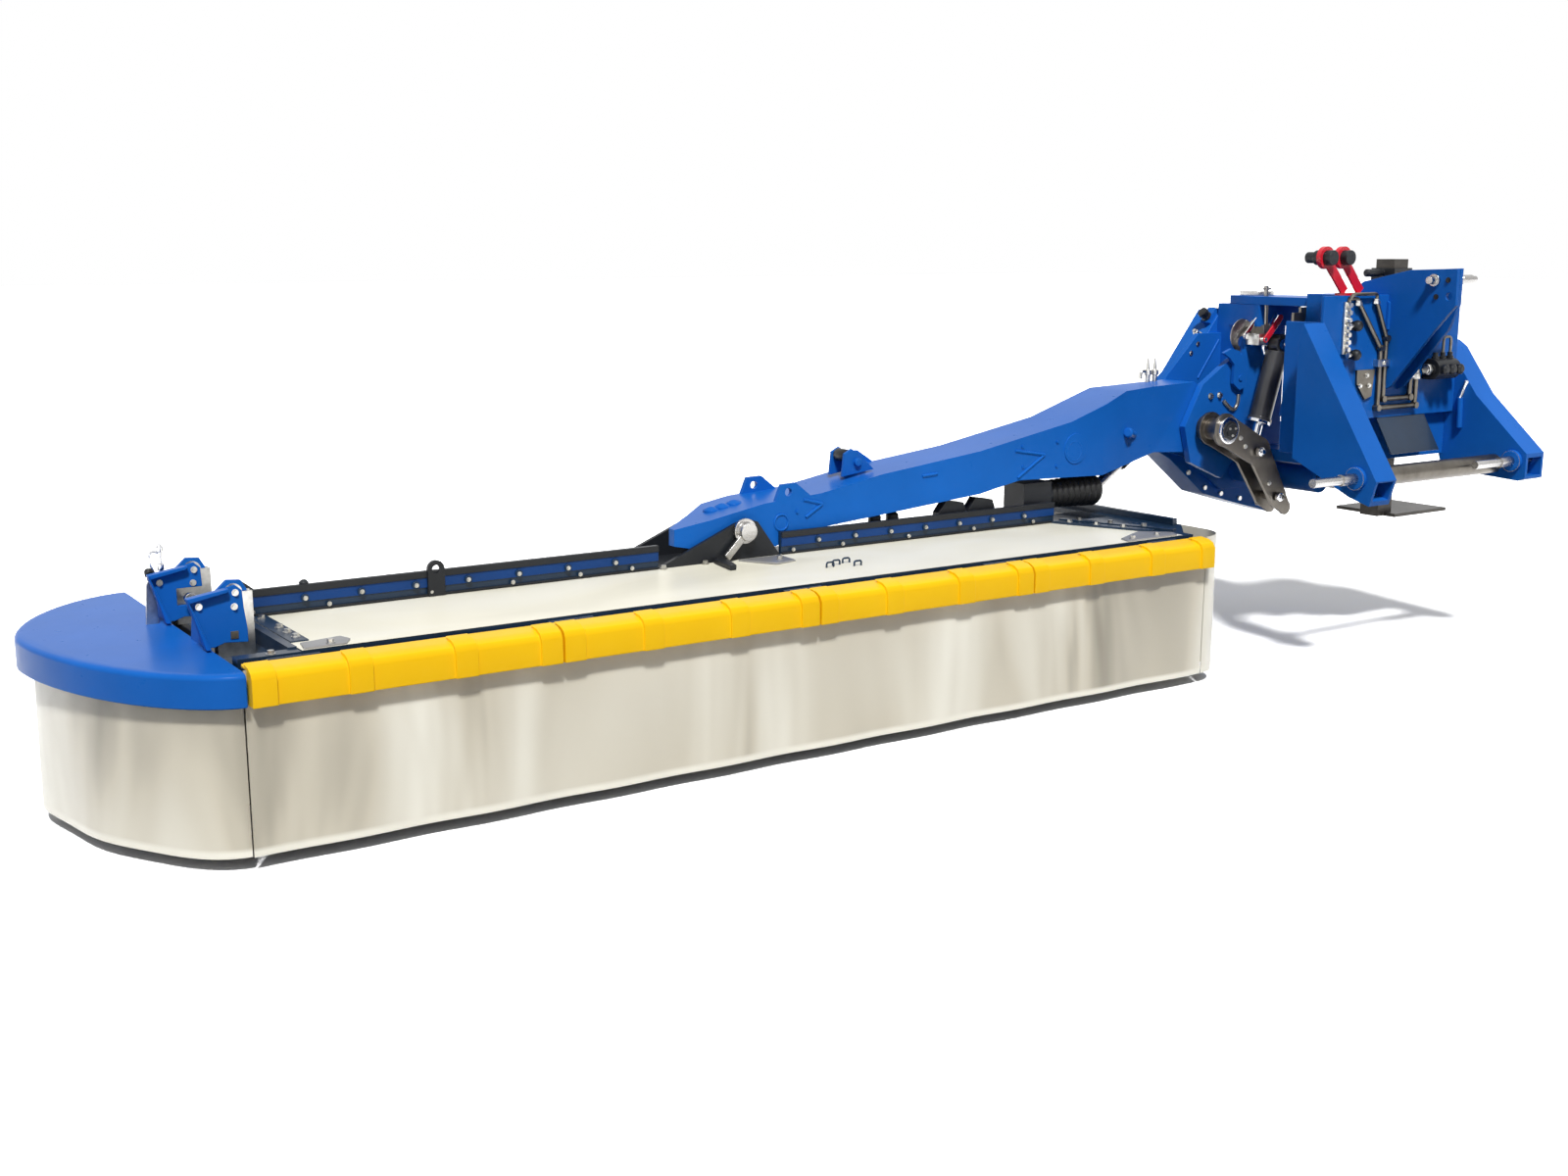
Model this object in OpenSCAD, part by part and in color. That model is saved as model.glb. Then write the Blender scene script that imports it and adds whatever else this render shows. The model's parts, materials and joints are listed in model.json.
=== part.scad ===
// Rear-mounted disc mower for a tractor's three-point hitch. A headstock carries a break-back
// turret, a lift arm and a tilting mower bar with eight discs under fabric guards.
// Millimetres: X runs from the outer end to the headstock, Y to the rear and Z up.
// The origin lies midway between the two lower hitch pins.

/* [Hitch] */
// Distance between the middles of the two lower hitch pins
hitch_span = 820; // [700:5:980]
// Free length of a lower hitch pin
low_pin_len = 210; // [160:5:260]
// Diameter of a lower hitch pin at its free end
low_pin_d = 28; // [22:0.5:36]
// Height of the top link pin over the lower pins
mast_h = 610; // [520:5:690]
// Clear gap between the two mast plates
mast_gap = 56; // [46:1:80]
// Diameter of the top link pin
top_pin_d = 25; // [19:0.5:32]
// Width of a hitch leg
leg_w = 100; // [70:1:130]
// Height of the hitch legs over the lower pins
leg_h = 475; // [430:5:520]

/* [Headstock] */
// Distance of the cross beam's front plate behind the lower pins
cross_set = 246; // [220:2:280]
// Height of the cross beam's underside over the lower pins
cross_rise = 150; // [120:2:180]
// Height of the cross beam
cross_h = 410; // [360:5:460]
// Depth of the cross beam
cross_d = 224; // [180:2:260]
// Plate thickness of the headstock
head_t = 12; // [8:0.5:16]
// Side of the square parking leg
park_w = 75; // [60:1:90]
// Length of the parking leg
park_len = 890; // [800:10:960]

/* [Turret] */
// Distance of the break-back pin from the hitch middle
break_off = 110; // [95:1:130]
// Diameter of the break-back pin
break_pin_d = 70; // [50:1:85]
// Height of the turret column
col_h = 505; // [470:5:540]
// Half width of the turret column
col_half = 70; // [60:1:80]
// Width of the drive casing
casing_w = 650; // [600:5:700]
// Height of the drive casing over the lift pivot
casing_h = 400; // [370:5:430]
// Depth of the drive casing
casing_d = 110; // [100:2:140]

/* [Lift arm] */
// Distance of the lift pivot from the hitch middle
pivot_off = 214; // [200:1:240]
// Height of the lift pivot over the lower pins
pivot_up = 93; // [70:1:110]
// Distance of the arm's front face behind the lower pins
arm_set = 690; // [650:5:730]
// Width of the arm
arm_w = 202; // [180:2:230]
// Reach from the lift pivot to the bar pivot
arm_reach = 1953; // [1800:1:2100]
// Drop from the lift pivot to the bar pivot
arm_drop = 180; // [150:1:210]
// Depth of the arm at its inner end, over the lift pivot
arm_h = 160; // [140:1:180]
// Plate thickness of the arm
arm_t = 12; // [8:0.5:16]
// Diameter of the lift pivot pin
lift_pin_d = 60; // [50:1:64]
// Diameter of the bar pivot pin
bar_pin_d = 54; // [40:1:64]
// Bore of the lift cylinder
cyl_bore_d = 60; // [50:1:70]
// Diameter of the lift cylinder's rod
cyl_rod_d = 32; // [25:1:40]

/* [Mower bar] */
// Distance between neighbouring disc axes
disc_pitch = 390; // [380:1:410]
// Diameter of a disc
disc_d = 380; // [340:2:400]
// Diameter of the circle that the knife tips run on
knife_d = 480; // [460:2:500]
// Distance from the front skirt to the main beam
guard_reach = 486; // [440:2:530]
// Distance from the main beam to the rear skirt
rear_reach = 139; // [130:1:180]
// Height of the skirts
skirt_h = 442; // [400:2:480]
// Clearance of the skirts over the ground
skirt_gap = 35; // [20:1:60]
// Drop from the bar pivot to the canopy
canopy_drop = 81; // [74:1:90]
// Height of the main beam
beam_h = 100; // [80:1:120]
// Wall of the main beam
beam_t = 8; // [5:0.5:12]
// Height of the bumper
bumper_h = 86; // [70:1:100]
// Width of the end cap beyond the bar
cap_out = 349; // [320:1:400]
// Height of the end cap's rim
cap_rim_h = 78; // [60:1:110]

/* [Hidden] */
$fn = 48;
disc_count = 8;
over = 3;
run_gap = 0.05;
fit_gap = 0.02;
part_gap = 0.3;
side_gap = 4;

// Places along the lift arm and the bar
pivot_x = -pivot_off;
pivot_z = pivot_up;
bar_x = pivot_x - arm_reach;
bar_z = pivot_z - arm_drop;
arm_y1 = arm_set + arm_w;
arm_taper = 60;
arm_in_y = arm_set + arm_taper;
beam_y0 = arm_set - side_gap;
beam_y1 = arm_y1 + side_gap;
bar_len = disc_count * disc_pitch;
pivot_share = 0.509;
seam_x = bar_x - bar_len * pivot_share;
inner_x = seam_x + bar_len;
corner_r = 117;
skirt_x1 = inner_x - corner_r;
front_y = beam_y0 - guard_reach;
rear_y = beam_y1 + rear_reach;
canopy_z = bar_z - canopy_drop;
skirt_z = canopy_z - skirt_h;
ground_z = skirt_z - skirt_gap;
beam_sink = 22;
beam_z1 = canopy_z - beam_sink;
beam_z0 = beam_z1 - beam_h;
seam_gap = 5;

// Hitch legs and cross beam
right_x0 = -hitch_span / 2 + low_pin_len / 2;
right_x1 = right_x0 + leg_w;
left_x0 = hitch_span / 2 + low_pin_len / 2;
cross_y1 = cross_set + head_t;
cross_y2 = cross_set + cross_d;
cross_z1 = cross_rise + cross_h;
box_left = 130;
box_x0 = break_off - box_left;
right_leg_shares = [[0.935, 1], [1, 0.853], [1, 0.084], [0.098, -0.131], [-0.199, -0.175],
    [-0.289, -0.006]];
right_mouth_shares = [[0.902, 0.926], [0.955, 0.838], [0.955, 0.109], [0.089, -0.097],
    [-0.285, -0.152], [-0.346, -0.025], [-0.211, -0.008]];
left_leg_shares = [[1.2, 0.832], [1.065, 0.783], [0.61, 0.45], [-0.2, 0.06],
    [-0.2, -0.12], [-0.1, -0.139], [1.065, -0.109], [1.2, 0.126]];
left_mouth_shares = [[1.15, 0.78], [0.65, 0.42], [-0.12, 0.035], [-0.3, 0.02], [-0.3, -0.095],
    [-0.1, -0.105], [1.04, -0.075], [1.15, 0.14]];
pin_step_d = 36.5;
pin_step_len = 78;
pin_collar_d = 72;
pin_collar_t = 12;
linch_d = 10;
linch_set = 14;
mast_t = 15;
mast_x = 165;
mast_pin_set = 73;
mast_shares = [[0.691, 1.052], [-0.028, 1.062], [-0.037, 0.869], [0.252, 0.736], [0.89, 0.418], [1, 0.397]];
mast_seat = 128;
mast_seat_t = 25;
mast_seat_slope = [21, 16];
mast_far_set = 30;
end_depth = 140;
end_low_share = 0.084;
spare_set = 18;
spare_drop = 51;
mast_hole_d = 25.6;
mast_pin_over = 34;
mast_pin_head_d = 40;
mast_pin_head_t = 10;
guard_plate_x = 100;
guard_plate_w = 256;
guard_plate_h = 118;
guard_plate_fore = 70;
guard_plate_t = 8;
low_tube_d = 64;
low_tube_drop = 15;
low_tube_back_share = 0.27;
shield_t = 8;
shield_back = 30;
lug_half = 110;
lug_t = 30;
lug_nose = 62;
lug_nose_half = 70;
lug_cut = 140;
low_lug_half = 65;
low_lug_t = 40;
break_x = break_off;
break_share = 0.545;
break_y = arm_set + break_share * arm_w;
low_lug_drop = 30;
col_z0 = low_lug_t - low_lug_drop + part_gap;
col_z1 = col_z0 + col_h;
lug_z0 = col_z1 + part_gap;
pin_head_d = 120;
pin_head_t = 14;
park_x = 305;
park_back = 134;
park_top = 675;
park_play = 0.5;
foot_w = 290;
foot_d = 250;
foot_side = 140;
foot_back = 40;
foot_t = 12;
collar_h = 85;
collar_t = 10;
lock_pin_d = 18;
lock_pin_len = 78;
lock_drop = 16;
rack_x = -102;
rack_w = 125;
rack_d = 44;
rack_t = 8;
rack_h = 122;
rack_arm_w = 34;
rack_foot_shares = [0.16, 0.8];
ring_d = 72;
ring_hole_d = 48;
ring_len = 16;
ring_shares = [-0.67, 0.01];
coupler_len = 70;
coupler_nose_d = 36;
strip_x = -112;
strip_w = 30;
strip_t = 10;
strip_h = 170;
strip_drop = 20;
knob_d = 30;
knob_len = 26;
knob_x = -62;
knob_shares = [0.24, 0.47];
pipe_d = 16;
elbow_d = 22;
pipe_x_shares = [[-0.093, 0.159, 0.159, 0.5476, 0.5476], [0.085, 0.21, 0.21, 0.4854, 0.4854]];
pipe_z_shares = [[0.946, 0.571, 0.085, 0.085, 0.371], [0.951, 0.649, 0.156, 0.156, 0.385]];
block_x_share = 0.75;
block_z_share = 0.38;
block_d = 70;
block_len = 120;
block_port_d = 34;
block_port_len = 30;

// Turret
cheek_in_t = 25;
tf_y1 = arm_in_y - side_gap;
tf_y0 = tf_y1 - cheek_in_t;
tr_y0 = beam_y1;
cheek_back_t = 20;
tr_y1 = tr_y0 + cheek_back_t;
head_h = 75;
head_front = 31;
cheek_eye_d = 180;
front_cheek_shares = [[-0.31, 0.02], [-0.06, 0.36], [0.36, 0.56], [0.53, 0.6], [0.53, 0.84], [0.98,
    0.84], [0.98, -0.18],
    [0.6, -0.18], [0.3, -0.44], [-0.2, -0.28]];
rear_cheek_shares = [[-0.3, 0.02], [-0.06, 0.4], [0.42, 0.75], [0.98, 0.75], [1.02, 0.05], [1.38, -0.2],
    [1.38, -0.62], [0.9, -0.62], [0.3, -0.3], [-0.2, -0.2]];
casing_shares = [[0.414, 0.993], [0.605, 0.985], [0.698, 0.518], [0.975, -0.083], [1.006, -0.683],
    [0.934, -0.94], [0.632, -0.815], [0.34, -0.683], [0.058, -0.33], [-0.132, -0.18], [-0.145, 0.08],
    [0.14, 0.437]];
casing_mid_share = [0.4, 0];
casing_in_share = 0.95;
casing_t = 6;
rim_bolt_d = 18;
rim_bolt_t = 8;
rim_bolt_shares = [[0.91, -0.87], [0.79, -0.83], [0.64, -0.765], [0.48, -0.7], [0.345, -0.628], [0.206,
    -0.47],
    [0.645, 0.6425]];
input_share = [0.583, -0.47];
out_pulley_d = 120;
in_pulley_d = 180;
pulley_w = 50;
pulley_set = 30;
belt_t = 8;
belt_gap = 0.8;
shaft_d = 50;
stub_d = 34.9;
stub_len = 80;
input_len = 556;
input_tube_d = 96;
input_tube_len = 400;
out_shaft_d = 40;
trunnion_d = 116;
trunnion_bore_d = 60;
hook_pin_d = 20;
hook_share = [0.46, 0.4];
hook_t = 14;
hook_r = 95;
hook_shares = [[0.3, -0.35], [0.35, 0.3], [-0.1, 1], [-0.55, 1.1], [-0.95, 0.95], [-0.6, 0.75], [-0.35, 0.5],
    [-0.35, -0.2], [0, -0.45]];
hook_gap = 4;
valve_w = 40;
valve_share = [0.636, 0.72];
valve_len = 60;
stem_d = 14;
stem_len = 10;
lever_t = 6;
lever_w = 22;
lever_len = 104;
lever_angle = 46;

// Lift crank and cylinder
crank_t = 12;
crank_gap = 56;
crank_front = 99;
crank_y0 = tf_y0 - crank_front;
crank_y1 = crank_y0 + crank_t;
crank_y2 = crank_y1 + crank_gap;
crank_y3 = crank_y2 + crank_t;
rod_pin = [179, -89];
tail_bolt = [288, -256];
tail_end = [330, -298];
crank_eye_r = 58;
crank_mid_r = 54;
crank_tail_r = 42;
crank_end_r = 26;
crank_bush_wall = 7;
crank_pin_d = 30;
crank_nut_t = 10;
lift_head_d = 92;
lift_head_t = 10;
cyl_top = [293, 284];
cyl_wall = 8;
cyl_eye_d = 72;
cyl_eye_w = 44;
cyl_pin_d = 40;
cyl_body = [30, 285];
cyl_bore_start = 58;
gland_len = 18;
gland_d = 84;
rod_len = 330;
rod_eye_d = 64;
rod_neck = 24;

// Arm
arm_top_shares = [[0.047, 0], [0.038, 0.6], [-0.016, 1], [-0.202, 0.92], [-0.34, 0.38], [-0.54, -0.069],
    [-0.738, -0.35], [-0.854, -0.6], [-0.9575, -0.69], [-1.053, -0.9], [-1.113, -1]];
arm_low_shares = [[-1.1137, -1.3], [-1.068, -1.42], [-0.937, -1.5], [-0.849, -1.24], [-0.538, -0.92],
    [-0.453, -0.725], [-0.266, -0.79], [-0.11, -0.47], [0, -0.55], [0.033, -0.4]];
arm_bend_share = -0.262;
arm_flat_share = -0.118;
arm_floor = 400;
arm_skew = 209;
arm_end_w = 30;
arm_sleeve_d = 100;
lug_shares = [[-0.94, -0.76], [-0.926, -0.37], [-0.9, -0.36], [-0.868, -0.67]];
arm_lug_t = 15;
arm_lug_hole_d = 24;
arm_lug_hole_share = [-0.914, -0.52];
bevel_w = 130;
bevel_front = 40;
bevel_boss_d = 70;
bevel_boss_len = 22;
guide_x_share = -0.71;
guide_z_share = -0.38;
guide_shares = [[-0.5, -0.5], [0.6, -0.5], [0.6, 0.15], [0, 0.62], [-0.35, 0.62], [-0.5, 0.4]];
guide_w = 110;
guide_h = 90;
guide_t = 10;
guide_pin_d = 30;
emboss_d = 100;
emboss_t = 3;
emboss_share = [-0.33, -0.18];

// Drive shaft between the arm and the bar
shaft_ball_d = 60;
shaft_tube_d = 52;
shaft_tube_share = 0.589;
slide_d = 34;
slide_from_share = 0.2355;
slide_bore_share = 0.106;
slide_ball_d = 36;
gear_w = 120;
gear_depth = 100;
gear_h = 150;
gear_axis_h = 100;
gear_neck_d = 110;
gear_neck_len = 140;
gear_boss_d = 90;
gear_boss_len = 15;
boot_d = 70;
boot_mouth_d = 88;
boot_wall = 6;
boot_len = 218;
boot_ribs = 9;
boot_rib_t = 6;

// Main beam, bracket and canopy
beam_out = 35;
beam_in = 55;
rail_t = 14;
rail_h = 112;
rail_over = 65;
cheek_shares = [[-1, -1.68], [0.444, -1.68], [0.444, -0.94], [0.176, 0.26], [0.054, 0.4], [-0.1, 0.26],
    [-1, -0.94]];
cheek_l = 279;
cheek_k = 85;
floor_t = 12;
keeper_len = 70;
keeper_w = 22;
keeper_t = 12;
bar_pin_over = 32;
canvas_t = 4;
canvas_in = 150;
canvas_slant = [328, 163];
front_rail_w = 40;
hinge_back = 46;
hinge_drop = 16;
hinge_r = 9;
hinge_side = 12;
hinge_rod_d = 10;
hinge_len = 40;
hinge_shares = [0.04, 0.27, 0.5, 0.73, 0.95];
hinge_play = 1;
arm_bar_w = 50;
arm_bar_h = 43;
arm_bar_shares = [0.15, 0.38, 0.62, 0.85];
frame_t = 18;
frame_set = 78;
frame_bar_w = 20;
frame_bar_h = 22;
tray_sink = 37;
tray_t = 10;
eye_share = 0.205;
eye_w = 46;
eye_t = 12;
eye_hole_d = 22;
eye_over = 92;
bolt_d = 20;
bolt_t = 9;
bolt_count = 7;
sheet_t = 4;
rear_drop = 52;
wave_amp = 3;
wave_pitch = 330;
wave_steps = 8;

// Cutter bed, skids and discs
disc_in = 365;
disc_x1 = inner_x - disc_in;
disc_fore = 31;
disc_y = (beam_y0 + beam_y1) / 2 - disc_fore;
bed_w = 180;
bed_t = 45;
bed_in_share = 0.78;
bed_shares = [[-0.5, 0.45], [-0.36, 1], [0.42, 1], [0.5, 0.7], [0.5, 0], [-0.44, 0]];
skid_t = 23;
skid_w = 300;
skid_shares = [[-0.66, 2.2], [-0.59, 2.2], [-0.44, 1], [0.5, 1], [0.5, 0], [-0.47, 0]];
bed_z0 = ground_z + skid_t;
bed_z1 = bed_z0 + bed_t;
spigot_d = 50;
spigot_h = 32;
hub_d = 110;
hub_h = 16;
disc_rim_t = 7;
disc_wall = 7;
disc_hollow_share = 0.72;
disc_shares = [[0.8, 0.4], [0.42, 0.88], [0, 1]];
dome_h = 45;
knife_w = 46;
knife_t = 4;
knife_in_share = 0.62;
knife_bolt_d = 20;
knife_bolt_share = 0.7;
knife_gap = 5;
bolt_foot = 3;
drum_d = 250;
drum_top_d = 120;
drum_h = 120;
hang_t = 15;
hang_gap = 20;
hang_w = 180;
arm_out_w = 80;
arm_out_h = 55;
arm_out_drop = 25;

// Bumper and end guard
bumper_front = 35;
band_t = 6;
band_w = 56;
module_count = 4;
module_gap = 6;
band_shares = [0.33, 0.67];
bumper_shares = [[0, 0], [0, 0.66], [0.13, 0.84], [0.4, 0.94], [0.9, 0.985]];
lip_t = 8;
cap_front = 636;
cap_back = 449;
cap_power_share = 1.7;
cap_steps = 16;
cap_drop = 15;
cap_wall = 6;
cap_round_shares = [[0, 0.4], [0.18, 0.15], [0.5, 0.04], [1, 0]];
cap_round = 26;
cap_set = 30;
end_skirt_in = 38;
end_wave = 4;
hinge_x = 56;
hinge_up = 112;
lever_places = [250, 590];
end_lever_t = 12;
end_shares = [[0.2, 0.2], [-0.12, 0.22], [-0.62, -0.14], [-0.62, -1], [-0.35, -0.94], [0.22, -0.94],
    [0.33, 0.02]];
flange_shares = [[0, 0], [0, 0.8], [0.8, 0.6], [1, 0]];
end_lever_w = 100;
end_pin_d = 20;
end_plate_t = 8;
end_plate_w = 86;
flange_l = 130;
flange_t = 8;
end_play = 0.5;
latch_d = 12;
latch_len = 46;
latch_knob_d = 28;
latch_knob_len = 16;
latch_drop = 62;
latch_side = 22;

function at(s, w, h, x, z) = [for (p = s) [x + p[0] * w, z + p[1] * h]];
function shrink(pts, c, k) = [for (p = pts) c + (p - c) * k];
limb_share = 0.96;
function limb(p, q, rp, rq) =
    let (d = (q - p) / norm(q - p), n = [-d[1], d[0]])
    [p + n * rp * limb_share, q + n * rq * limb_share, q - n * rq * limb_share, p - n * rp * limb_share];

module block(a, b) translate(a) cube(b - a);
module prism_y(pts, y0, y1) translate([0, y1, 0]) rotate([90, 0, 0]) linear_extrude(y1 - y0) polygon(pts);
module prism_x(pts, x0, x1) translate([x0, 0, 0]) rotate([90, 0, 90]) linear_extrude(x1 - x0) polygon(pts);
module prism_z(pts, z0, z1) translate([0, 0, z0]) linear_extrude(z1 - z0) polygon(pts);
module rod_x(y, z, x0, x1, d) translate([x0, y, z]) rotate([0, 90, 0]) cylinder(h = x1 - x0, d = d);
module rod_y(x, z, y0, y1, d) translate([x, y0, z]) rotate([-90, 0, 0]) cylinder(h = y1 - y0, d = d);
module rod_z(x, y, z0, z1, d) translate([x, y, z0]) cylinder(h = z1 - z0, d = d);
// A round rod from one point to another
module rod(p, q, d) {
    v = q - p;
    translate(p) rotate([0, acos(v[2] / norm(v)), atan2(v[1], v[0])]) cylinder(h = norm(v), d = d);
}
// A sheet that hangs along a path, flat at its hem line and waved lower down
module drape(path, side, zs, waves, t, amp, pitch) {
    n = len(path);
    m = len(zs);
    run = [for (i = 0, d = 0; i < n; d = d + (i + 1 < n ? norm(path[i + 1] - path[i]) : 0), i = i + 1) d];
    pts = [for (f = [-1, 1]) for (j = [0:m - 1]) for (i = [0:n - 1])
        let (k = f * t / 2 + amp * waves[j] * sin(360 * run[i] / pitch), q = path[i] + side[i] * k)
        [q[0], q[1], zs[j]]];
    function id(f, j, i) = f * n * m + j * n + i;
    front = [for (j = [0:m - 2]) for (i = [0:n - 2]) each [[id(0, j, i), id(0, j, i + 1), id(0, j + 1,
        i + 1)],
        [id(0, j, i), id(0, j + 1, i + 1), id(0, j + 1, i)]]];
    back = [for (j = [0:m - 2]) for (i = [0:n - 2]) each [[id(1, j, i), id(1, j + 1, i + 1), id(1, j, i + 1)],
        [id(1, j, i), id(1, j + 1, i), id(1, j + 1, i + 1)]]];
    rims = [for (i = [0:n - 2]) each [[id(0, 0, i), id(1, 0, i + 1), id(0, 0, i + 1)],
        [id(0, 0, i), id(1, 0, i), id(1, 0, i + 1)],
        [id(0, m - 1, i), id(0, m - 1, i + 1), id(1, m - 1, i + 1)],
        [id(0, m - 1, i), id(1, m - 1, i + 1), id(1, m - 1, i)]]];
    ends = [for (j = [0:m - 2]) each [[id(0, j, 0), id(0, j + 1, 0), id(1, j + 1, 0)],
        [id(0, j, 0), id(1, j + 1, 0), id(1, j, 0)],
        [id(0, j, n - 1), id(1, j + 1, n - 1), id(0, j + 1, n - 1)],
        [id(0, j, n - 1), id(1, j, n - 1), id(1, j + 1, n - 1)]]];
    polyhedron(pts, concat(front, back, rims, ends));
}

blue = [0.08, 0.3, 0.62];
navy = [0.1, 0.16, 0.26];
black = [0.12, 0.12, 0.13];
zinc = [0.62, 0.62, 0.64];
chrome = [0.8, 0.81, 0.83];
steel = [0.42, 0.41, 0.4];
cloth = [0.9, 0.87, 0.79];
yellow = [1, 0.8, 0.05];
red = [0.75, 0.06, 0.08];

// Headstock

// The plan of the upper lug and of the turret's head, from a front edge to the nose round the upright pin
function lug_plan(y0) = [[break_x - lug_half, y0], [break_x + lug_half, y0],
    [break_x + lug_half, break_y + lug_nose - lug_cut], [break_x + lug_nose_half, break_y + lug_nose],
    [break_x - lug_nose_half, break_y + lug_nose], [break_x - lug_half, break_y + lug_nose - lug_cut]];

module headstock_beam() color(blue) difference() {
    union() {
        block([right_x1, cross_set, cross_rise], [left_x0, cross_y1, cross_z1]);
        block([right_x1, cross_y1 - over, leg_h * end_low_share],
            [right_x1 + head_t, cross_y1 + end_depth, leg_h]);
        block([right_x1, cross_set, leg_h * end_low_share], [right_x1 + head_t, cross_y1, cross_rise + over]);
        difference() {
            block([box_x0, cross_set, cross_rise], [left_x0, cross_y2, cross_z1]);
            block([box_x0 + head_t, cross_y1, cross_rise + head_t],
                [left_x0 + over, cross_y2 - head_t, cross_z1 - head_t]);
        }
        prism_z(lug_plan(cross_y2 - head_t), lug_z0, lug_z0 + lug_t);
        block([break_x - low_lug_half, cross_y2 - head_t, -low_lug_drop],
            [break_x + low_lug_half, break_y + lug_nose, low_lug_t - low_lug_drop]);
        block([break_x - low_lug_half, cross_y2 - head_t, -low_lug_drop],
            [break_x + low_lug_half, cross_y2, lug_z0 + lug_t]);
        block([box_x0, cross_set + shield_back, 0], [left_x0, cross_set + shield_back + shield_t,
            cross_rise]);
    }
    rod_z(break_x, break_y, -low_lug_drop - over, lug_z0 + lug_t + over, break_pin_d + fit_gap * 2);
    park_hole(cross_rise - over, cross_z1 + over, 0);
}

park_y = cross_set + park_back;
// The square hole that the parking leg runs in, widened by a margin
module park_hole(z0, z1, m) {
    h = park_w / 2 + park_play + m;
    block([park_x - h, park_y - h, z0], [park_x + h, park_y + h, z1]);
}

module hitch_leg(shares, mouth, x0) difference() {
    prism_x(at(shares, cross_y1, leg_h, 0, 0), x0, x0 + leg_w);
    prism_x(at(mouth, cross_y1, leg_h, 0, 0), x0 + head_t, x0 + leg_w - head_t);
    rod_x(0, 0, x0 - over, x0 + leg_w + over, pin_step_d + fit_gap * 2);
}
module right_hitch_leg() color(blue) hitch_leg(right_leg_shares, right_mouth_shares, right_x0);
module left_hitch_leg() color(blue) hitch_leg(left_leg_shares, left_mouth_shares, left_x0);

mast_side = concat(at(mast_shares, cross_set, mast_h, 0, 0), [[cross_set, cross_z1],
    [cross_set + mast_seat, cross_z1], [cross_set + mast_seat, cross_z1 + mast_seat_t],
    [cross_set + mast_seat - mast_seat_slope[0], cross_z1 + mast_seat_t + mast_seat_slope[1]]]);
module top_link_mast() color(blue) for (k = [0, 1]) difference() {
    x = k == 0 ? mast_x - mast_gap / 2 - mast_t : mast_x + mast_gap / 2;
    prism_x([for (p = mast_side) [k == 0 ? p[0] : max(p[0], mast_far_set), p[1]]], x, x + mast_t);
    rod_x(mast_pin_set, mast_h, x - over, x + mast_t + over, top_pin_d + fit_gap * 2);
    if (k == 0) rod_x(spare_set, mast_h - spare_drop, x - over, x + mast_t + over, mast_hole_d);
}

module lower_hitch_pins() color(zinc) for (x = [right_x0, left_x0]) difference() {
    union() {
        rod_x(0, 0, x - low_pin_len, x, low_pin_d);
        rod_x(0, 0, x - pin_step_len, x + leg_w, pin_step_d);
        rod_x(0, 0, x - pin_collar_t, x, pin_collar_d);
    }
    rod_z(x - low_pin_len + linch_set, 0, -low_pin_d, low_pin_d, linch_d);
}

module top_link_pin() color(zinc) {
    x = mast_gap / 2 + mast_t;
    rod_x(mast_pin_set, mast_h, mast_x - x - mast_pin_over, mast_x + x + mast_pin_over, top_pin_d);
    rod_x(mast_pin_set, mast_h, mast_x - x - mast_pin_head_t, mast_x - x, mast_pin_head_d);
    rod_x(mast_pin_set, mast_h, mast_x + x, mast_x + x + mast_pin_head_t, mast_pin_head_d);
}

module lower_cross_tube() color(blue)
    rod_x(low_tube_back_share * cross_y1, -low_tube_drop, right_x1, left_x0, low_tube_d);

module shaft_shield() color(navy)
    prism_x([[cross_set, cross_rise], [cross_set + guard_plate_t, cross_rise],
        [cross_set - guard_plate_fore + guard_plate_t, cross_rise - guard_plate_h],
        [cross_set - guard_plate_fore, cross_rise - guard_plate_h]],
        guard_plate_x, guard_plate_x + guard_plate_w);

rack_y = cross_set + rack_d / 2;
module hose_rack() color(red) difference() {
    union() {
        block([rack_x, cross_set, cross_z1], [rack_x + rack_w, cross_set + rack_d, cross_z1 + rack_t]);
        for (i = [0, 1]) prism_y(limb([rack_x + rack_foot_shares[i] * rack_w, cross_z1 + rack_arm_w / 3],
            [rack_x + ring_shares[i] * rack_w, cross_z1 + rack_h], rack_arm_w / 2, rack_arm_w / 2),
            rack_y - rack_t / 2, rack_y + rack_t / 2);
        for (s = ring_shares) rod_y(rack_x + s * rack_w, cross_z1 + rack_h, rack_y - ring_len / 2,
            rack_y + ring_len / 2, ring_d);
    }
    for (s = ring_shares) rod_y(rack_x + s * rack_w, cross_z1 + rack_h, rack_y - ring_len / 2 - over,
        rack_y + ring_len / 2 + over, ring_hole_d);
}

module valve_strip() color(chrome)
    block([strip_x, cross_set - strip_t, cross_z1 - strip_drop - strip_h],
        [strip_x + strip_w, cross_set, cross_z1 - strip_drop]);

block_x = block_x_share * left_x0;
block_y = cross_set - block_d / 2;
block_z = cross_rise + block_z_share * cross_h;
module black_fittings() color(black) {
    for (s = ring_shares) {
        x = rack_x + s * rack_w;
        z = cross_z1 + rack_h;
        rod_y(x, z, rack_y - coupler_len / 2, rack_y + coupler_len / 2, ring_hole_d - fit_gap * 2);
        rod_y(x, z, rack_y, rack_y + coupler_len, coupler_nose_d);
    }
    for (s = knob_shares) rod_y(knob_x, cross_z1 - s * cross_h, cross_set - knob_len, cross_set, knob_d);
    rod_x(block_y, block_z, block_x - block_len / 2, block_x + block_len / 2, block_d);
    block([block_x - block_len / 2, block_y, block_z - block_d / 2],
        [block_x + block_len / 2, cross_set, block_z + block_d / 2]);
    rod_x(block_y, block_z, block_x - block_len / 2 - block_port_len,
        block_x + block_len / 2 + block_port_len,
        block_port_d);
}

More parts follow.
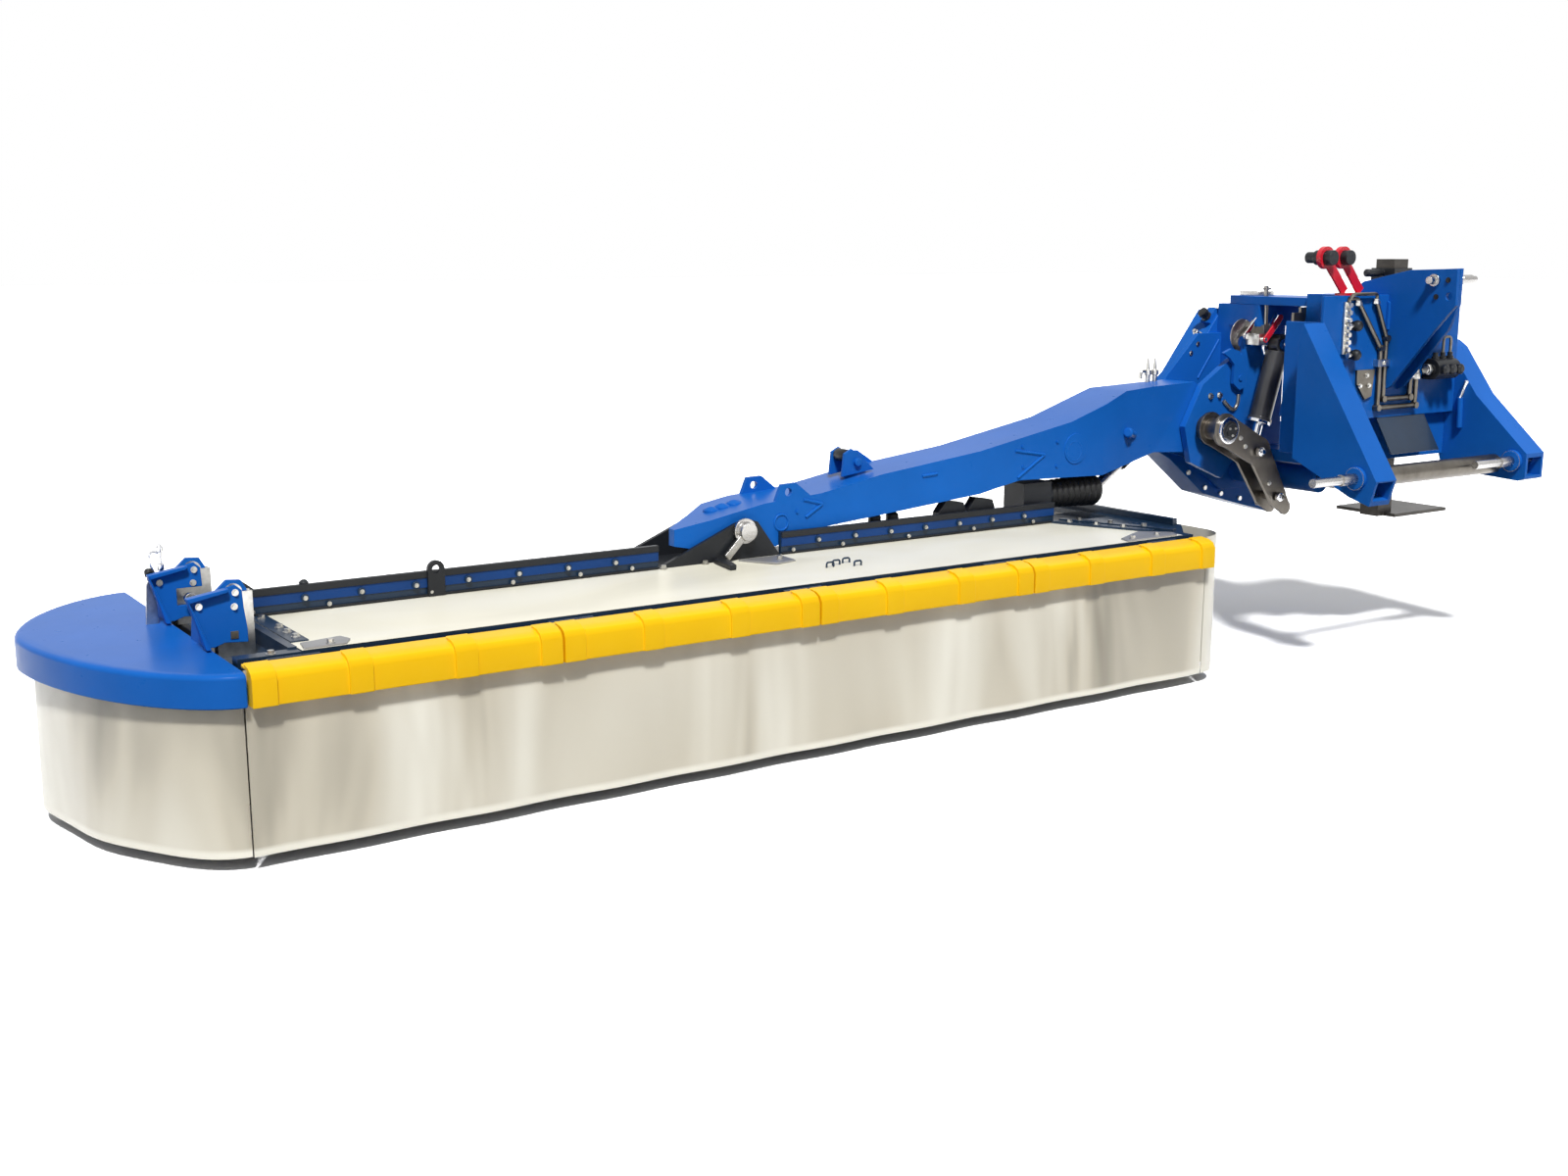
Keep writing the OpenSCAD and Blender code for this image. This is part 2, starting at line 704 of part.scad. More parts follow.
module steel_pipes() color(zinc) {
    y = cross_set - elbow_d / 2;
    for (k = [0:len(pipe_x_shares) - 1]) {
        p = [for (i = [0:len(pipe_x_shares[k]) - 1])
            [pipe_x_shares[k][i] * left_x0, y, cross_rise + pipe_z_shares[k][i] * cross_h]];
        for (i = [0:len(p) - 2]) rod(p[i], p[i + 1], pipe_d);
        for (i = [1:len(p) - 2]) rod_y(p[i][0], p[i][2], y - elbow_d / 2, cross_set, elbow_d);
    }
}

module parking_collar() color(navy) {
    h = park_w / 2 + park_play + collar_t;
    difference() {
        park_hole(cross_z1, cross_z1 + collar_h, collar_t);
        park_hole(cross_z1 - over, cross_z1 + collar_h + over, 0);
    }
    rod_x(park_y, cross_z1 + collar_h - lock_drop, park_x - h - lock_pin_len, park_x - h, lock_pin_d);
}

module parking_leg() color(zinc) {
    h = park_w / 2;
    z = park_top - park_len;
    difference() {
        block([park_x - h, park_y - h, z], [park_x + h, park_y + h, park_top]);
        block([park_x - h + collar_t, park_y - h + collar_t, z + foot_t],
            [park_x + h - collar_t, park_y + h - collar_t, park_top + over]);
    }
    block([park_x + foot_side - foot_w / 2, park_y + foot_back - foot_d / 2, z],
        [park_x + foot_side + foot_w / 2, park_y + foot_back + foot_d / 2, z + foot_t]);
}

module break_back_pin() color(chrome) {
    rod_z(break_x, break_y, -low_lug_drop - pin_head_t, lug_z0 + lug_t, break_pin_d);
    rod_z(break_x, break_y, -low_lug_drop - pin_head_t, -low_lug_drop, pin_head_d);
    rod_z(break_x, break_y, lug_z0 + lug_t, lug_z0 + lug_t + pin_head_t, pin_head_d);
}

// Turret

turret_w = break_x - pivot_x;
turret_h = col_z1 - pivot_z;
in_x = pivot_x + input_share[0] * casing_w;
in_z = pivot_z + input_share[1] * casing_h;
top_x = pivot_x + cyl_top[0];
top_z = pivot_z + cyl_top[1];
hook_x = pivot_x + hook_share[0] * turret_w;
hook_z = pivot_z + hook_share[1] * turret_h;
hook_y1 = tf_y0 - hook_gap;
valve_x = pivot_x + valve_share[0] * turret_w;
valve_z = pivot_z + valve_share[1] * turret_h;
cyl_y = (crank_y1 + crank_y2) / 2;

module turret_frame() color(blue) difference() {
    union() {
        prism_y(at(front_cheek_shares, turret_w, turret_h, pivot_x, pivot_z), tf_y0, tf_y1);
        prism_y(at(rear_cheek_shares, turret_w, turret_h, pivot_x, pivot_z), tr_y0, tr_y1);
        rod_y(pivot_x, pivot_z, tf_y0, tf_y1, cheek_eye_d);
        rod_y(pivot_x, pivot_z, tr_y0, tr_y1, cheek_eye_d);
        difference() {
            block([break_x - col_half, tf_y0, col_z0], [break_x + col_half, tr_y1, col_z1]);
            block([break_x - col_half + cheek_in_t, tf_y1, col_z0 + lug_t],
                [break_x + col_half + over, tr_y0, col_z1 - head_h]);
        }
        rod_z(break_x, break_y, col_z0, col_z1, break_pin_d + cheek_in_t);
        prism_z(lug_plan(tf_y0 - head_front), col_z1 - head_h, col_z1);
        rod_y(in_x, in_z, tr_y1 - input_tube_len, tr_y1, input_tube_d);
        rod_y(top_x, top_z, crank_y1, tf_y0 + over, cyl_pin_d);
        rod_y(hook_x, hook_z, hook_y1 - hook_t - hook_gap, tf_y0 + over, hook_pin_d);
    }
    rod_z(break_x, break_y, col_z0 - over, col_z1 + over, break_pin_d + run_gap * 2);
    rod_y(pivot_x, pivot_z, tf_y0 - over, tf_y1 + over, lift_pin_d + run_gap * 2);
    rod_y(pivot_x, pivot_z, tr_y0 - over, tr_y1 + over, trunnion_d + run_gap * 2);
    rod_y(in_x, in_z, tr_y1 - input_tube_len - over, tr_y1 + over, shaft_d + run_gap * 2);
}

casing_c = [pivot_x + casing_mid_share[0] * casing_w, pivot_z + casing_mid_share[1] * casing_h];
casing_pts = at(casing_shares, casing_w, casing_h, pivot_x, pivot_z);
casing_y1 = tr_y1 + casing_d;
module drive_casing() color(blue) difference() {
    prism_y(casing_pts, tr_y1, casing_y1);
    prism_y(shrink(casing_pts, casing_c, casing_in_share), tr_y1 + casing_t, casing_y1 - casing_t);
    rod_y(in_x, in_z, tr_y1 - over, tr_y1 + casing_t + over, shaft_d + side_gap);
    rod_y(pivot_x, pivot_z, tr_y1 - over, tr_y1 + casing_t + over, out_shaft_d + side_gap);
}

module casing_bolts() color(zinc) for (p = at(rim_bolt_shares, casing_w, casing_h, pivot_x, pivot_z))
    rod_y(p[0], p[1], tr_y1 - rim_bolt_t, tr_y1, rim_bolt_d);

pulley_y = tr_y1 + pulley_set;
module belt_loop(grow, y0, y1) hull() {
    rod_y(pivot_x, pivot_z, y0, y1, out_pulley_d + grow);
    rod_y(in_x, in_z, y0, y1, in_pulley_d + grow);
}
module drive_belt() color(black) difference() {
    belt_loop((belt_gap + belt_t) * 2, pulley_y, pulley_y + pulley_w);
    belt_loop(belt_gap * 2, pulley_y - over, pulley_y + pulley_w + over);
}

module shutoff_valve() color(zinc) {
    h = valve_w / 2;
    block([valve_x - h, tf_y0 - valve_len, valve_z - h], [valve_x + h, tf_y0, valve_z + h]);
    rod_y(valve_x, valve_z, tf_y0 - valve_len - stem_len - lever_t, tf_y0 - valve_len, stem_d);
}

module input_shaft() color(zinc) {
    y = tr_y1 - input_len;
    rod_y(in_x, in_z, y, y + stub_len, stub_d);
    rod_y(in_x, in_z, y + stub_len, pulley_y + pulley_w, shaft_d);
    rod_y(in_x, in_z, pulley_y, pulley_y + pulley_w, in_pulley_d);
}

module output_shaft() color(zinc) {
    rod_y(pivot_x, pivot_z, arm_y1 - arm_t + part_gap, pulley_y + pulley_w, out_shaft_d);
    rod_y(pivot_x, pivot_z, pulley_y, pulley_y + pulley_w, out_pulley_d);
}

cyl_len = norm(rod_pin - cyl_top);
cyl_dir = (rod_pin - cyl_top) / cyl_len;
function along(s) = [top_x + cyl_dir[0] * s, cyl_y, top_z + cyl_dir[1] * s];
module lift_barrel() color(steel) difference() {
    union() {
        rod_y(top_x, top_z, cyl_y - cyl_eye_w / 2, cyl_y + cyl_eye_w / 2, cyl_eye_d);
        rod(along(cyl_body[0]), along(cyl_body[1]), cyl_bore_d + cyl_wall * 2);
        rod(along(cyl_body[1] - gland_len), along(cyl_body[1]), gland_d);
    }
    rod_y(top_x, top_z, cyl_y - cyl_eye_d, cyl_y + cyl_eye_d, cyl_pin_d + run_gap * 2);
    rod(along(cyl_bore_start), along(cyl_body[1] - gland_len), cyl_bore_d);
    rod(along(cyl_bore_start), along(cyl_body[1] + over), cyl_rod_d + run_gap * 2);
}

module lift_rod() color(chrome) difference() {
    union() {
        rod(along(cyl_len - rod_len), along(cyl_len - rod_neck), cyl_rod_d);
        rod_y(pivot_x + rod_pin[0], pivot_z + rod_pin[1], cyl_y - cyl_eye_w / 2, cyl_y + cyl_eye_w / 2,
            rod_eye_d);
    }
    rod_y(pivot_x + rod_pin[0], pivot_z + rod_pin[1], cyl_y - cyl_eye_w, cyl_y + cyl_eye_w, crank_pin_d);
}

module transport_hook() color(zinc) difference() {
    prism_y(at(hook_shares, hook_r, hook_r, hook_x, hook_z), hook_y1 - hook_t, hook_y1);
    rod_y(hook_x, hook_z, hook_y1 - hook_t - over, hook_y1 + over, hook_pin_d + run_gap * 2);
}

module valve_lever() color(red) translate([valve_x, tf_y0 - valve_len - stem_len, valve_z])
    rotate([0, -lever_angle, 0]) difference() {
        union() {
            block([0, -lever_t, -lever_w / 2], [lever_len, 0, lever_w / 2]);
            rod_y(0, 0, -lever_t, 0, lever_w);
            rod_y(lever_len, 0, -lever_t, 0, lever_w);
        }
        rod_y(0, 0, -lever_t - over, over, stem_d + run_gap * 2);
    }

// Lift arm

arm_top = at(arm_top_shares, arm_reach, arm_h, pivot_x, pivot_z);
arm_low = at(arm_low_shares, arm_reach, arm_h, pivot_x, pivot_z);
arm_xr = arm_top[0][0];
arm_xl = arm_top[len(arm_top) - 1][0];
arm_zf = pivot_z - arm_floor;
arm_zt = pivot_z + arm_floor;
bend_x = pivot_x + arm_bend_share * arm_reach;
flat_x = pivot_x + arm_flat_share * arm_reach;
bevel_y0 = arm_in_y + bevel_front;
arm_hollow = concat([[arm_xr - arm_t, arm_zf]],
    [for (p = arm_top) [min(max(p[0], arm_xl + arm_t), arm_xr - arm_t), p[1] - arm_t]],
    [[arm_xl + arm_t, arm_zf]]);
function arm_end_x(y, m) = arm_xl + (arm_skew * (y - arm_set - arm_end_w)
    + m * norm([arm_skew, arm_w - arm_end_w])) / (arm_w - arm_end_w);
function arm_plan(m) = [[arm_xl - over, arm_set + m], [bend_x, arm_set + m], [flat_x, arm_in_y + m],
    [arm_xr + over, arm_in_y + m], [arm_xr + over, arm_y1 - m], [arm_end_x(arm_y1 - m, m), arm_y1 - m],
    [arm_end_x(arm_set + arm_end_w, m), arm_set + arm_end_w], [arm_xl - over, arm_set + arm_end_w]];
module arm_beam() color(blue) difference() {
    union() {
        difference() {
            intersection() {
                prism_y(concat(arm_top, arm_low), arm_set - over, arm_y1 + over);
                prism_z(arm_plan(0), arm_zf, arm_zt);
            }
            intersection() {
                prism_y(arm_hollow, arm_set - over, arm_y1 + over);
                prism_z(arm_plan(arm_t), arm_zf - over, arm_zt);
            }
        }
        for (y = [arm_set, arm_y1 - arm_lug_t]) difference() {
            prism_y(at(lug_shares, arm_reach, arm_h, pivot_x, pivot_z), y, y + arm_lug_t);
            rod_y(pivot_x + arm_lug_hole_share[0] * arm_reach, pivot_z + arm_lug_hole_share[1] * arm_h,
                y - over, y + arm_lug_t + over, arm_lug_hole_d);
        }
        rod_y(bar_x, bar_z, arm_set, arm_y1, arm_sleeve_d);
        rod_y(pivot_x, pivot_z, arm_in_y, bevel_y0, lift_pin_d + arm_sleeve_d / 2);
        rod_y(pivot_x, pivot_z, arm_y1 - arm_t, tr_y1, trunnion_d);
        rod_y(pivot_x + emboss_share[0] * arm_reach, pivot_z + emboss_share[1] * arm_h, arm_set - emboss_t,
            arm_set + emboss_t, emboss_d);
    }
    rod_y(bar_x, bar_z, arm_set - over, arm_y1 + over, bar_pin_d + run_gap * 2);
    rod_y(pivot_x, pivot_z, arm_in_y - over, bevel_y0 + over, lift_pin_d + fit_gap * 2);
    rod_y(pivot_x, pivot_z, arm_y1 - arm_t - over, tr_y1 + over, trunnion_bore_d);
}

module lift_pin() color(chrome) {
    rod_y(pivot_x, pivot_z, crank_y0 - lift_head_t, bevel_y0, lift_pin_d);
    rod_y(pivot_x, pivot_z, crank_y0 - lift_head_t, crank_y0, lift_head_d);
}

pivot_p = [pivot_x, pivot_z];
module crank_plate(y0, y1) difference() {
    union() {
        prism_y(limb(pivot_p, pivot_p + rod_pin, crank_eye_r, crank_mid_r), y0, y1);
        prism_y(limb(pivot_p + rod_pin, pivot_p + tail_bolt, crank_mid_r, crank_tail_r), y0, y1);
        prism_y(limb(pivot_p + tail_bolt, pivot_p + tail_end, crank_tail_r, crank_end_r), y0, y1);
        rod_y(pivot_x, pivot_z, y0, y1, crank_eye_r * 2);
        rod_y(pivot_x + rod_pin[0], pivot_z + rod_pin[1], y0, y1, crank_mid_r * 2);
        rod_y(pivot_x + tail_bolt[0], pivot_z + tail_bolt[1], y0, y1, crank_tail_r * 2);
        rod_y(pivot_x + tail_end[0], pivot_z + tail_end[1], y0, y1, crank_end_r * 2);
    }
    rod_y(pivot_x, pivot_z, y0 - over, y1 + over, lift_pin_d + fit_gap * 2);
}
module crank_plates() color(steel) {
    crank_plate(crank_y0, crank_y1);
    crank_plate(crank_y2, crank_y3);
    difference() {
        union() {
            rod_y(pivot_x, pivot_z, crank_y1, crank_y2, lift_pin_d + crank_bush_wall * 2);
            rod_y(pivot_x, pivot_z, crank_y3, tf_y0 - part_gap, lift_head_d);
        }
        rod_y(pivot_x, pivot_z, crank_y1 - over, tf_y0 + over, lift_pin_d + fit_gap * 2);
    }
    rod_y(pivot_x + tail_bolt[0], pivot_z + tail_bolt[1], crank_y1, crank_y2, crank_pin_d);
    for (p = [rod_pin, tail_bolt]) rod_y(pivot_x + p[0], pivot_z + p[1], crank_y0 - crank_nut_t, crank_y0,
        crank_pin_d);
}

bevel_x0 = pivot_x - bevel_w / 2;
bevel_y = (bevel_y0 + arm_y1 - arm_t) / 2;
module bevel_box() color(black) {
    block([bevel_x0, bevel_y0, pivot_z - bevel_w / 2], [bevel_x0 + bevel_w, arm_y1 - arm_t,
        pivot_z + bevel_w / 2]);
    rod_x(bevel_y, pivot_z, bevel_x0 - bevel_boss_len, bevel_x0, bevel_boss_d);
}

guide_x = pivot_x + guide_x_share * arm_reach;
guide_z = pivot_z + guide_z_share * arm_h;
module arm_guide() color(blue) {
    prism_y(at(guide_shares, guide_w, guide_h, guide_x, guide_z), arm_y1, arm_y1 + guide_t);
    rod_y(guide_x - guide_w / 4, guide_z + guide_h / 3, arm_y1 - guide_w / 2, arm_y1, guide_pin_d);
}

gear_x1 = disc_x1 + gear_w / 2;
gear_z = beam_z1 + gear_axis_h;
boot_x0 = gear_x1 + gear_boss_len;
boot_x1 = boot_x0 + boot_len;
shaft_a = [bevel_x0 - bevel_boss_len - shaft_ball_d / 2 - part_gap, bevel_y, pivot_z];
shaft_b = [boot_x1, disc_y, gear_z];
shaft_span = norm(shaft_b - shaft_a);
shaft_dir = (shaft_b - shaft_a) / shaft_span;
shaft_tube_len = shaft_span * shaft_tube_share;
module shaft_tube() color(black) difference() {
    union() {
        translate(shaft_a) sphere(d = shaft_ball_d);
        rod(shaft_a, shaft_a + shaft_dir * shaft_tube_len, shaft_tube_d);
    }
    rod(shaft_a + shaft_dir * shaft_span * slide_bore_share, shaft_a + shaft_dir * (shaft_tube_len + over),
        slide_d + run_gap * 2);
}
module shaft_slider() color(zinc) {
    rod(shaft_a + shaft_dir * shaft_span * slide_from_share, shaft_b, slide_d);
    translate(shaft_b) sphere(d = slide_ball_d);
}

// Mower bar

beam_x0 = seam_x + beam_out;
beam_x1 = inner_x - beam_in;
module main_beam() color(blue) difference() {
    block([beam_x0, beam_y0, beam_z0], [beam_x1, beam_y1, beam_z1]);
    block([beam_x0 - over, beam_y0 + beam_t, beam_z0 + beam_t], [beam_x1 + over, beam_y1 - beam_t,
        beam_z1 - beam_t]);
    rod_z(disc_x1, disc_y, beam_z0 - over, beam_z1 + over, gear_neck_d + fit_gap * 2);
}

rail_y = beam_y0 - rail_t;
eye_x = seam_x + eye_share * bar_len;
cheek_r_share = 0.444;
module pivot_bracket() color(black) {
    difference() {
        for (y = [rail_y, beam_y1]) prism_y(at(cheek_shares, cheek_l, cheek_k, bar_x, bar_z), y, y + rail_t);
        rod_y(bar_x, bar_z, rail_y - over, beam_y1 + rail_t + over, bar_pin_d + fit_gap * 2);
    }
    block([bar_x - cheek_l, beam_y0, beam_z1], [bar_x + cheek_r_share * cheek_l, beam_y1, beam_z1 + floor_t]);
    difference() {
        union() {
            block([eye_x - eye_w / 2, rail_y - eye_t, canopy_z], [eye_x + eye_w / 2, rail_y,
                canopy_z + eye_over - eye_w / 2]);
            rod_y(eye_x, canopy_z + eye_over - eye_w / 2, rail_y - eye_t, rail_y, eye_w);
        }
        rod_y(eye_x, canopy_z + eye_over - eye_w / 2, rail_y - eye_t - over, rail_y + over, eye_hole_d);
    }
}

pin_collar = 20;
module bar_pin() color(zinc) {
    y = rail_y - keeper_t;
    rod_y(bar_x, bar_z, rail_y - bar_pin_over, beam_y1 + rail_t + bar_pin_over, bar_pin_d);
    rod_y(bar_x, bar_z, y, rail_y, bar_pin_d + pin_collar);
    rod_y(bar_x, bar_z, beam_y1 + rail_t, beam_y1 + rail_t + keeper_t, bar_pin_d + pin_collar);
    prism_y(limb([bar_x, bar_z], [bar_x - keeper_len, bar_z - keeper_len], keeper_w / 2, keeper_w / 2),
        y - keeper_t, y);
}

canvas_x0 = seam_x + canvas_in;
canvas_xb = inner_x - canvas_slant[0];
canvas_xa = inner_x - canvas_slant[1];
rail_z0 = canopy_z + rail_over - rail_h;
module cover_rails() color(blue) {
    block([canvas_x0, rail_y, rail_z0], [bar_x - cheek_l - seam_gap, beam_y0, canopy_z + rail_over]);
    block([bar_x + cheek_r_share * cheek_l + seam_gap, rail_y, rail_z0], [canvas_xb, beam_y0,
        canopy_z + rail_over]);
}

hinge_y = front_y + hinge_back;
hinge_z = canopy_z - hinge_drop;
lip_y = hinge_y - hinge_side;
fr_y0 = hinge_y + hinge_side;
fr_y1 = fr_y0 + front_rail_w;
under_z = canopy_z - canvas_t;
tray_z1 = canopy_z - tray_sink;
guard_x0 = seam_x + seam_gap;
guard_x1 = skirt_x1 - seam_gap;
function hinge_x_at(s) = guard_x0 + s * (guard_x1 - guard_x0);
frame_x = inner_x - frame_set;
module canopy_frame() color(navy) {
    block([guard_x0, fr_y0, under_z - front_rail_w], [skirt_x1, fr_y1, under_z]);
    for (s = hinge_shares) {
        x = hinge_x_at(s);
        out = hinge_len / 2 + hinge_play + hinge_len;
        rod_x(hinge_y, hinge_z, x - out, x + out, hinge_rod_d);
        for (x0 = [x - out, x + hinge_len / 2 + hinge_play]) {
            rod_x(hinge_y, hinge_z, x0, x0 + hinge_len, hinge_r * 2);
            block([x0, hinge_y, hinge_z - hinge_r], [x0 + hinge_len, fr_y0 + over, hinge_z]);
        }
    }
    for (s = arm_bar_shares) {
        x = canvas_x0 + s * (canvas_xb - canvas_x0);
        block([x - arm_bar_w / 2, fr_y1 - over, under_z - arm_bar_h], [x + arm_bar_w / 2, rail_y, under_z]);
    }
    block([guard_x0, fr_y1 - over, tray_z1 - tray_t], [canvas_x0, beam_y0, tray_z1]);
    block([canvas_x0 - frame_bar_w, fr_y1 - over, tray_z1 - over], [canvas_x0, rail_y, canopy_z]);
    prism_z([[canvas_xa + seam_gap, fr_y1 - over], [canvas_xa + seam_gap, fr_y1],
        [canvas_xb + seam_gap, rail_y], [frame_x, rail_y], [frame_x, rear_y], [inner_x - sheet_t, rear_y],
        [inner_x - sheet_t, fr_y1 + corner_r], [skirt_x1, fr_y1], [skirt_x1, fr_y1 - over]],
        beam_z1, beam_z1 + frame_t);
    block([inner_x - sheet_t - frame_bar_w * 2, fr_y1 + corner_r, beam_z1 + frame_t - over],
        [inner_x - sheet_t - frame_bar_w, rear_y, beam_z1 + frame_t + frame_bar_h]);
}

module canopy_canvas() color(cloth)
    prism_z([[canvas_x0, fr_y0], [canvas_x0, rail_y], [canvas_xb, rail_y], [canvas_xa, fr_y1],
        [canvas_xa, fr_y0]],
        under_z, canopy_z);

cover_z = beam_z1 - rear_drop;
module skirt_panels() color(cloth) {
    translate([skirt_x1, front_y + corner_r, skirt_z]) rotate([0, 0, -90]) rotate_extrude(angle = 90)
        translate([corner_r - sheet_t, 0]) square([sheet_t, under_z - skirt_z]);
    block([inner_x - sheet_t, front_y + corner_r, skirt_z], [inner_x, rear_y, under_z]);
    block([guard_x0, beam_y1, cover_z], [inner_x - sheet_t, rear_y, cover_z + sheet_t]);
    straight_drape(guard_x0, inner_x - sheet_t, rear_y - wave_amp - sheet_t, cover_z, cover_z, skirt_z);
}

// A waved skirt along X that stays flat down to its hem line
module straight_drape(x0, x1, y, z1, hem, z0) {
    n = ceil((x1 - x0) / wave_pitch * wave_steps);
    path = [for (i = [0:n]) [x0 + (x1 - x0) * i / n, y]];
    drape(path, [for (p = path) [0, 1]], [z1, hem - sheet_t, (hem + z0) / 2, z0], wave_shares, sheet_t,
        wave_amp,
        wave_pitch);
}
wave_shares = [0, 0, 0.6, 1];

function disc_x(k) = disc_x1 - (k - 1) * disc_pitch;
bed_x1 = disc_x1 + knife_d / 2 + hang_gap;
bed_x0 = disc_x(disc_count) - knife_d / 2 - hang_gap;
module cutter_bed() color(steel) {
    bed = at(bed_shares, bed_w, bed_t, disc_y, bed_z0);
    difference() {
        prism_x(bed, bed_x0, bed_x1);
        prism_x(shrink(bed, [disc_y, (bed_z0 + bed_z1) / 2], bed_in_share), bed_x0 - over, bed_x1 + over);
    }
    for (k = [1:disc_count]) {
        rod_z(disc_x(k), disc_y, bed_z1, bed_z1 + spigot_h, spigot_d);
        prism_x(at(skid_shares, bed_w, skid_t, disc_y, ground_z), disc_x(k) - skid_w / 2,
            disc_x(k) + skid_w / 2);
    }
}

arm_out_z1 = beam_z1 - arm_out_drop;
module bar_hangers() color(navy) {
    block([bed_x1, disc_y - hang_w / 2, bed_z0], [bed_x1 + hang_t, disc_y + hang_w / 2, beam_z0]);
    block([beam_x0 - hang_t, beam_y0, beam_z0], [beam_x0, beam_y1, beam_z1]);
    block([bed_x0 - hang_t, disc_y - arm_out_w / 2, arm_out_z1 - arm_out_h],
        [beam_x0 - hang_t, disc_y + arm_out_w / 2, arm_out_z1]);
    block([bed_x0 - hang_t, disc_y - hang_w / 2, bed_z0], [bed_x0, disc_y + hang_w / 2, arm_out_z1]);
}

neck_z0 = beam_z1 - gear_neck_len;
module bar_gearbox() color(black) difference() {
    union() {
        block([disc_x1 - gear_w / 2, disc_y - gear_depth / 2, beam_z1],
            [gear_x1, disc_y + gear_depth / 2, beam_z1 + gear_h]);
        rod_z(disc_x1, disc_y, neck_z0, beam_z1, gear_neck_d);
        rod_x(disc_y, gear_z, gear_x1, boot_x0, gear_boss_d);
    }
    rod_z(disc_x1, disc_y, neck_z0 - over, beam_z1 - beam_h / 2, shaft_d + run_gap * 2);
}

// The ribbed boot round the drive shaft's joint, with its bore
module gearbox_boot() color(black) {
    n = boot_ribs * 2;
    r = [for (i = [0:n]) (boot_d + (boot_mouth_d - boot_d) * i / n) / 2];
    h = [for (i = [0:n]) boot_len * i / n];
    outer = [for (i = [0:n]) [r[i] + (i % 2) * boot_rib_t, h[i]]];
    inner = [for (i = [n:-1:0]) [r[i] - boot_wall, h[i]]];
    translate([boot_x0, disc_y, gear_z]) rotate([0, 90, 0]) rotate_extrude() polygon(concat(outer, inner));
}

lever_x = seam_x + hinge_x;
lever_z = canopy_z + hinge_up;
cap_z1 = canopy_z - cap_drop;
latch_x = lever_x - latch_side;
latch_z = lever_z - latch_drop;
lever_ys = [for (p = lever_places) front_y + p];
plate_in = end_lever_t / 2 + end_play;
module bar_fittings() color(zinc) {
    for (i = [0, 1]) {
        y = lever_ys[i];
        difference() {
            union() for (y0 = [y - plate_in - end_plate_t, y + plate_in]) {
                block([lever_x - end_plate_w / 2, y0, i == 0 ? tray_z1 : beam_z1],
                    [lever_x + end_plate_w / 2, y0 + end_plate_t, lever_z]);
                rod_y(lever_x, lever_z, y0, y0 + end_plate_t, end_pin_d * 2);
            }
            rod_y(latch_x, latch_z, y - plate_in - end_plate_t - over, y - plate_in + end_play / 2,
                latch_d + run_gap * 2);
        }
        rod_y(lever_x, lever_z, y - plate_in - end_plate_t * 2, y + plate_in + end_plate_t * 2, end_pin_d);
    }
    for (k = [1:bolt_count]) for (s = [[canvas_x0, bar_x - cheek_l], [bar_x + cheek_r_share * cheek_l,
        canvas_xb]])
        rod_y(s[0] + (s[1] - s[0]) * k / (bolt_count + 1), canopy_z + rail_over / 2, rail_y - bolt_t,
            rail_y, bolt_d);
}

// Front guard

bump_y0 = front_y - bumper_front;
bump_z1 = canopy_z - lip_t;
bump_z0 = bump_z1 - bumper_h;
skirt_f = front_y - sheet_t / 2;
skirt_b = front_y + sheet_t / 2;
function bump_front(m) = [for (s = bumper_shares) [bump_y0 - m + s[0] * (lip_y - bump_y0),
    bump_z0 + s[1] * (bumper_h + m)]];
module bumper() color(yellow) {
    len_m = (guard_x1 - guard_x0 + module_gap) / module_count;
    for (k = [0:module_count - 1]) {
        x0 = guard_x0 + k * len_m;
        x1 = x0 + len_m - module_gap;
        prism_x(concat(bump_front(0), [[lip_y, bump_z1], [lip_y, bump_z1 - lip_t], [skirt_f, bump_z1 - lip_t],
            [skirt_f, bump_z0]]), x0, x1);
        for (x = concat([x0, x1 - band_w], [for (s = band_shares) x0 + s * (x1 - x0) - band_w / 2]))
            prism_x(concat(bump_front(band_t), [[skirt_f, bump_z1 - lip_t], [skirt_f, bump_z0]]), x,
                x + band_w);
    }
}

module guard_bar() color(steel) difference() {
    union() {
        block([guard_x0, skirt_b, bump_z0], [guard_x1, lip_y, bump_z1 - lip_t]);
        for (s = hinge_shares) {
            x = hinge_x_at(s) - hinge_len / 2;
            rod_x(hinge_y, hinge_z, x, x + hinge_len, hinge_r * 2);
            block([x, lip_y, hinge_z - hinge_r], [x + hinge_len, hinge_y, hinge_z]);
        }
    }
    for (s = hinge_shares) rod_x(hinge_y, hinge_z, hinge_x_at(s) - hinge_len, hinge_x_at(s) + hinge_len,
        hinge_rod_d + run_gap * 2);
}

module front_skirt() color(cloth) straight_drape(guard_x0, guard_x1, front_y, bump_z1 - lip_t, bump_z0,
    skirt_z);

// End guard

cap_x = seam_x - seam_gap / 2;
cap_y = front_y - cap_set + cap_front;
cap_e_share = 2 / cap_power_share;
function cap_at(t, d) = [cap_x - (cap_out - d) * pow(abs(sin(t)), cap_e_share),
    cap_y - (cos(t) > 0 ? cap_front - d : d - cap_back) * pow(abs(cos(t)), cap_e_share)];
cap_angles = [for (i = [0:cap_steps * 2]) i * 90 / cap_steps];
